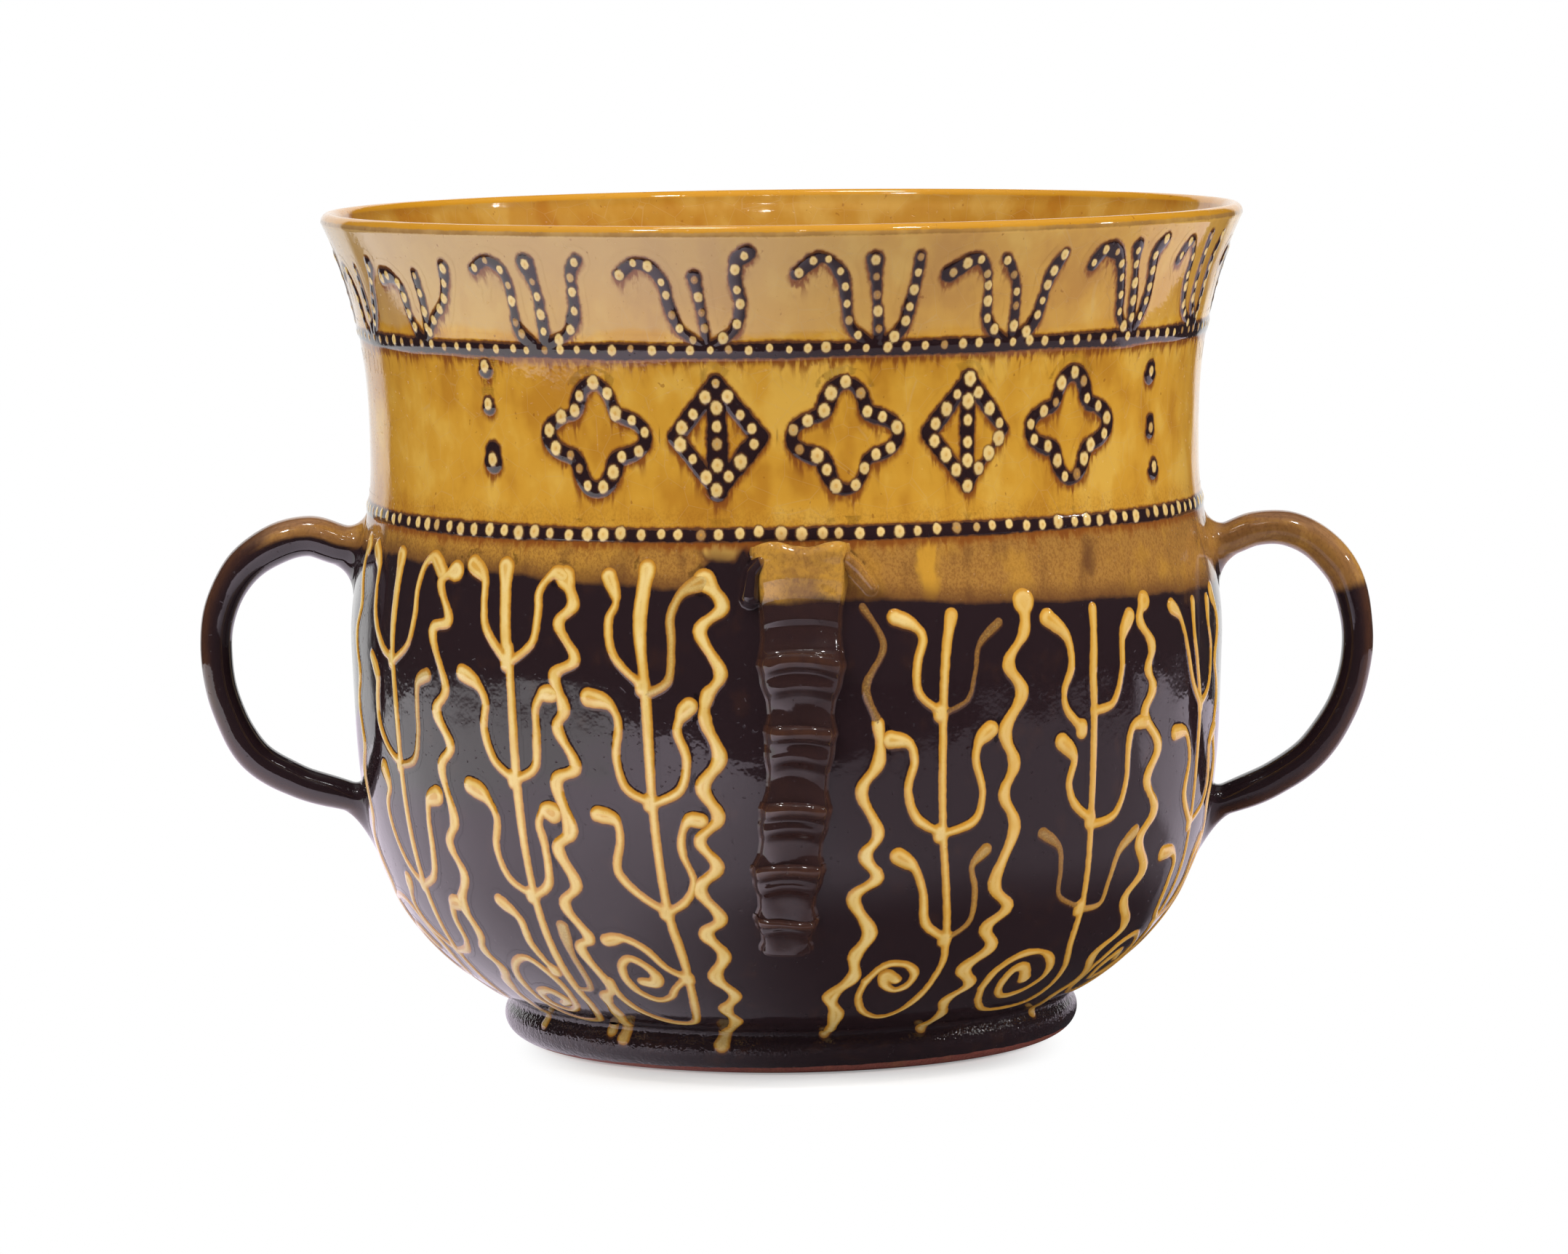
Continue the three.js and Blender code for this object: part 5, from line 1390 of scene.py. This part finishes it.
def stem_lines(turn, stem, thin_arms, light):
    """A stem's trunk, coil and arms, with a knot of slip at each joint."""
    trunk = on_lower_field(turn, stem["trunk"])
    down = trunk[0, 1] - trunk[:, 1]
    leaner, fatter_top = (LIGHT_HAND, 0.1) if light else (1.0, 0.4)
    trunk_line = stroke(trunk, TRUNK_LINE[0] * leaner, TRUNK_LINE[1], unevenness=0.1)
    swell = fatter_top * (1.0 - smooth((down - 16.0) / 12.0))
    trunk_line["half"] *= 1.0 + swell + 0.5 * np.exp(-(down / 3.0) ** 2)
    lines = [trunk_line, stroke(on_lower_field(turn, stem["coil"]), *COIL_LINE, tip=1.5, unevenness=0.14)]
    arm_width, arm_rise = ARM_LINE[0] * math.sqrt(leaner), ARM_LINE[1]
    for j, arm in enumerate(stem["arms"]):
        route = on_lower_field(turn, arm)
        thin = thin_arms.get(j, 0.0)
        lines.append(stroke(route, arm_width, arm_rise, tip=1.9, unevenness=0.1, thin=thin))
        if j % 2 == 0:
            knot = route[:1] + np.array([[0.0, 0.5], [0.0, -0.9]])
            lines.append(stroke(knot, *KNOT_LINE, unevenness=0.0))
    return lines


def make_lower_field():
    stems = [(half_turn, i) for half_turn in (FRONT, BACK) for i in range(len(STEMS))]
    for number, (half_turn, i) in enumerate(stems, 1):
        lines = stem_lines(half_turn, STEMS[i], THIN_ARMS.get(i, {}), light=i in LIGHT_STEMS)
        piece = slip_sheet("trailed_stem_%d" % number, lines, cream_slip, CREAM_SLIP_MARGIN)
        settle(piece, "cream_slip", "stem_%d" % number)
    waves = [(half_turn, i) for half_turn in (FRONT, BACK) for i in range(len(WAVES))]
    for number, (half_turn, i) in enumerate(waves, 1):
        lines = wave_lines(half_turn, WAVES[i], thin_top=i == WAVE_WITH_THIN_TOP)
        piece = slip_sheet("trailed_wave_%d" % number, lines, cream_slip, CREAM_SLIP_MARGIN)
        settle(piece, "cream_slip", "wave_%d" % number)


def make_strap_ears():
    """The clay at the top corners of each strap, smeared out sideways on to the wall."""
    for name, half_turn in (("front", FRONT), ("back", BACK)):
        left = stroke(np.add(LEFT_EAR, [half_turn, 0.0]), width=4.8, rise=4.6, tip=1.1, unevenness=0.0)
        right = stroke(np.add(RIGHT_EAR, [half_turn, 0.0]), width=4.4, rise=3.8, tip=0.8, unevenness=0.0)
        piece = slip_sheet("strap_ears_" + name, [left, right], outside, EAR_MARGIN)
        settle(piece, "treacle_glaze")


def make_foot_drips():
    """Where a wavy line ran down over the groove, it left a dab of slip on the foot."""
    drips = []
    for turn, length, width in FOOT_DRIPS:
        places = [[turn, roll.length], [turn - 0.8, roll.length - length]]
        drips.append(stroke(np.linspace(*places, 6), width, DRIP_RISE, tip=1.2, thin=0.3))
    for i, drip in enumerate(drips, 1):
        piece = slip_sheet("foot_drip_%d" % i, [drip], cream_slip, DRIP_MARGIN, surface=roll, step=0.3)
        settle(piece, "cream_slip")


make_body()
make_foot()
make_handle("pulled_handle_left", "handle_left", -1, LEFT_LOOP, LEFT_THICKNESS, left_amber)
make_handle("pulled_handle_right", "handle_right", 1, RIGHT_LOOP, RIGHT_THICKNESS, right_amber)
make_strap("pleated_strap_front", "front_strap", FRONT)
make_strap("pleated_strap_back", "back_strap", BACK)
make_strap_ears()
make_borders()
make_frieze()
make_lower_field()
make_foot_drips()


# Studio

def mix_shaders(tree, share, under, over):
    node = new_node(tree, "MixShader")
    for socket, value in zip(node.inputs, (share, under, over)):
        feed(socket, value)
    return node.outputs[0]


def make_floor():
    """A round pale table top. The camera sees it fade to white, with the pot's shadow near the foot."""
    corners, quads = revolve([(1.0, 0.0), *[(r, 0.0) for r in np.geomspace(40.0, 720.0, 24)]], 128)
    make_piece("table_top", corners, quads, [floor_finish()])


# The table as the glaze mirrors it, at its left and at its right: brightness, half width, half depth
MIRRORED_LEVEL = (1.45, 0.36)
MIRRORED_HALF_WIDTH = (690.0, 632.0)
MIRRORED_HALF_DEPTH = (492.0, 455.0)

# The oval round the foot where the camera sees the pot's shadow
SHADOW_HALF_WIDTH = 76.0
SHADOW_HALF_DEPTH = 95.0
SHADOW_AHEAD = 25.0


def mirrored_level(x, y, reach):
    """How bright the glaze mirrors the table: paler on the left, dark past a rounded edge, shaded by
    the pot, and plain white behind it."""
    level = ease(x, -230.0, 130.0, *MIRRORED_LEVEL)
    wide = abs(x) / ease(x, -100.0, 100.0, *MIRRORED_HALF_WIDTH)
    deep = abs(y) / ease(x, -150.0, 120.0, *MIRRORED_HALF_DEPTH)
    level = level * ease(wide ** 3.0 + deep ** 3.0, 0.94, 1.06, 1.0, 0.03)
    shade = ease(x, -85.0, 15.0) * ease(reach, 215.0, 130.0)
    return (level * (shade * -0.9 + 1.0)).at_least(ease(y, 20.0, 90.0))


def floor_finish():
    material, tree = new_material("White table top")
    place = place_in_millimetres(tree)
    x, y = axes(place)[:2]
    rays = new_node(tree, "LightPath").outputs
    paint = new_node(tree, "BsdfDiffuse")
    paint.inputs["Color"].default_value = colour(0.8, 0.8, 0.8)
    glow, white, mirrored = [new_node(tree, "Emission") for _ in range(3)]
    glow.inputs["Strength"].default_value = 0.3
    both = new_node(tree, "AddShader")
    feed(both.inputs[0], paint.outputs[0])
    feed(both.inputs[1], glow.outputs[0])
    aside = x * (1.0 / SHADOW_HALF_WIDTH)
    ahead = (y + SHADOW_AHEAD) * (1.0 / SHADOW_HALF_DEPTH)
    far = ease(aside * aside + ahead * ahead, 0.45, 0.92)
    seen = mix_shaders(tree, far, both.outputs[0], white.outputs[0])
    reach = new_node(tree, "VectorMath", operation="LENGTH")
    feed(reach.inputs[0], place)
    feed(mirrored.inputs["Color"], dye(ease(x, -270.0, -430.0), MIRRORED_TABLE, MIRRORED_TABLE_LEFT))
    feed(mirrored.inputs["Strength"], mirrored_level(x, y, Varying(reach.outputs["Value"])))
    glossy = mix_shaders(tree, rays["Is Glossy Ray"], paint.outputs[0], mirrored.outputs[0])
    top = mix_shaders(tree, rays["Is Camera Ray"], glossy, seen)
    feed(new_node(tree, "OutputMaterial").inputs["Surface"], top)
    return material


def make_world():
    """A white backdrop behind, a dark room in front and soft light overhead that the glaze hardly
    mirrors. The camera sees white."""
    world = bpy.data.worlds.new("Studio")
    world.use_nodes = True
    bpy.context.scene.world = world
    tree = world.node_tree
    tree.nodes.clear()
    rays = new_node(tree, "LightPath").outputs
    x, y, z = axes(Varying(new_node(tree, "TexCoord").outputs["Generated"]))
    backdrop = ease(x * -0.11 + y, 0.84, 0.89, 0.03, 1.0)
    overhead = ease(z, 0.5, 0.9, 0.0, 0.9) * (Varying(rays["Is Glossy Ray"]) * -0.75 + 1.0)
    sky = new_node(tree, "Background")
    sky.inputs["Color"].default_value = colour(1.0, 1.0, 1.0)
    feed(sky.inputs["Strength"], backdrop.at_least(overhead).at_least(rays["Is Camera Ray"]))
    feed(new_node(tree, "OutputWorld").inputs["Surface"], sky.outputs[0])


def soft_box(name, place, size, power, glints=False):
    """A lamp that faces the middle of the pot. Only one with glints shows in the glaze."""
    lamp = bpy.data.lights.new(name, "AREA")
    lamp.shape = "RECTANGLE"
    lamp.size = lamp.size_y = size
    lamp.energy = power
    box = bpy.data.objects.new(name, lamp)
    bpy.context.scene.collection.objects.link(box)
    box.location = place
    box.visible_glossy = glints
    aim = Vector((0.0, 0.0, 0.1)) - box.location
    box.rotation_euler = aim.to_track_quat("-Z", "Y").to_euler()


# The camera, fitted to the rim, the foot and the outline: its place, what it aims at, lens and roll
CAMERA_STAND = Vector((0.0, -1.72, 0.286))
CAMERA_AIM = Vector((-0.0006, 0.0, 0.1071))
CAMERA_LENS = 150.46
CAMERA_ROLL = -0.012


def make_camera():
    aim = (CAMERA_AIM - CAMERA_STAND).normalized()
    right = aim.cross(Vector((0.0, 0.0, 1.0))).normalized()
    up = right.cross(aim)
    cosine, sine = math.cos(CAMERA_ROLL), math.sin(CAMERA_ROLL)
    level, upright = right * cosine + up * sine, up * cosine - right * sine
    camera = bpy.data.cameras.new("Camera")
    camera.sensor_width = 36.0
    camera.lens = CAMERA_LENS
    camera.clip_start, camera.clip_end = 0.05, 20.0
    seat = bpy.data.objects.new("Camera", camera)
    bpy.context.scene.collection.objects.link(seat)
    turned = Matrix((level, upright, -aim)).transposed().to_4x4()
    seat.matrix_world = Matrix.Translation(CAMERA_STAND) @ turned
    bpy.context.scene.camera = seat


make_floor()
make_world()
soft_box("Key", (-0.95, -1.05, 1.15), size=0.9, power=17.5)
soft_box("Fill", (1.45, -0.35, 0.9), size=0.9, power=17.0)
soft_box("Glint left", (-0.66, -0.61, 1.66), size=0.14, power=3.6, glints=True)
soft_box("Glint right", (0.66, -0.61, 1.66), size=0.14, power=3.6, glints=True)
soft_box("Glint side", (1.62, -0.06, 0.86), size=0.1, power=1.4, glints=True)
soft_box("Glint above", (-0.2, 0.15, 1.45), size=0.2, power=1.8, glints=True)
soft_box("Glint front", (0.1, -1.0, 1.3), size=0.05, power=0.2, glints=True)
make_camera()
bpy.context.scene.view_settings.view_transform = "Standard"
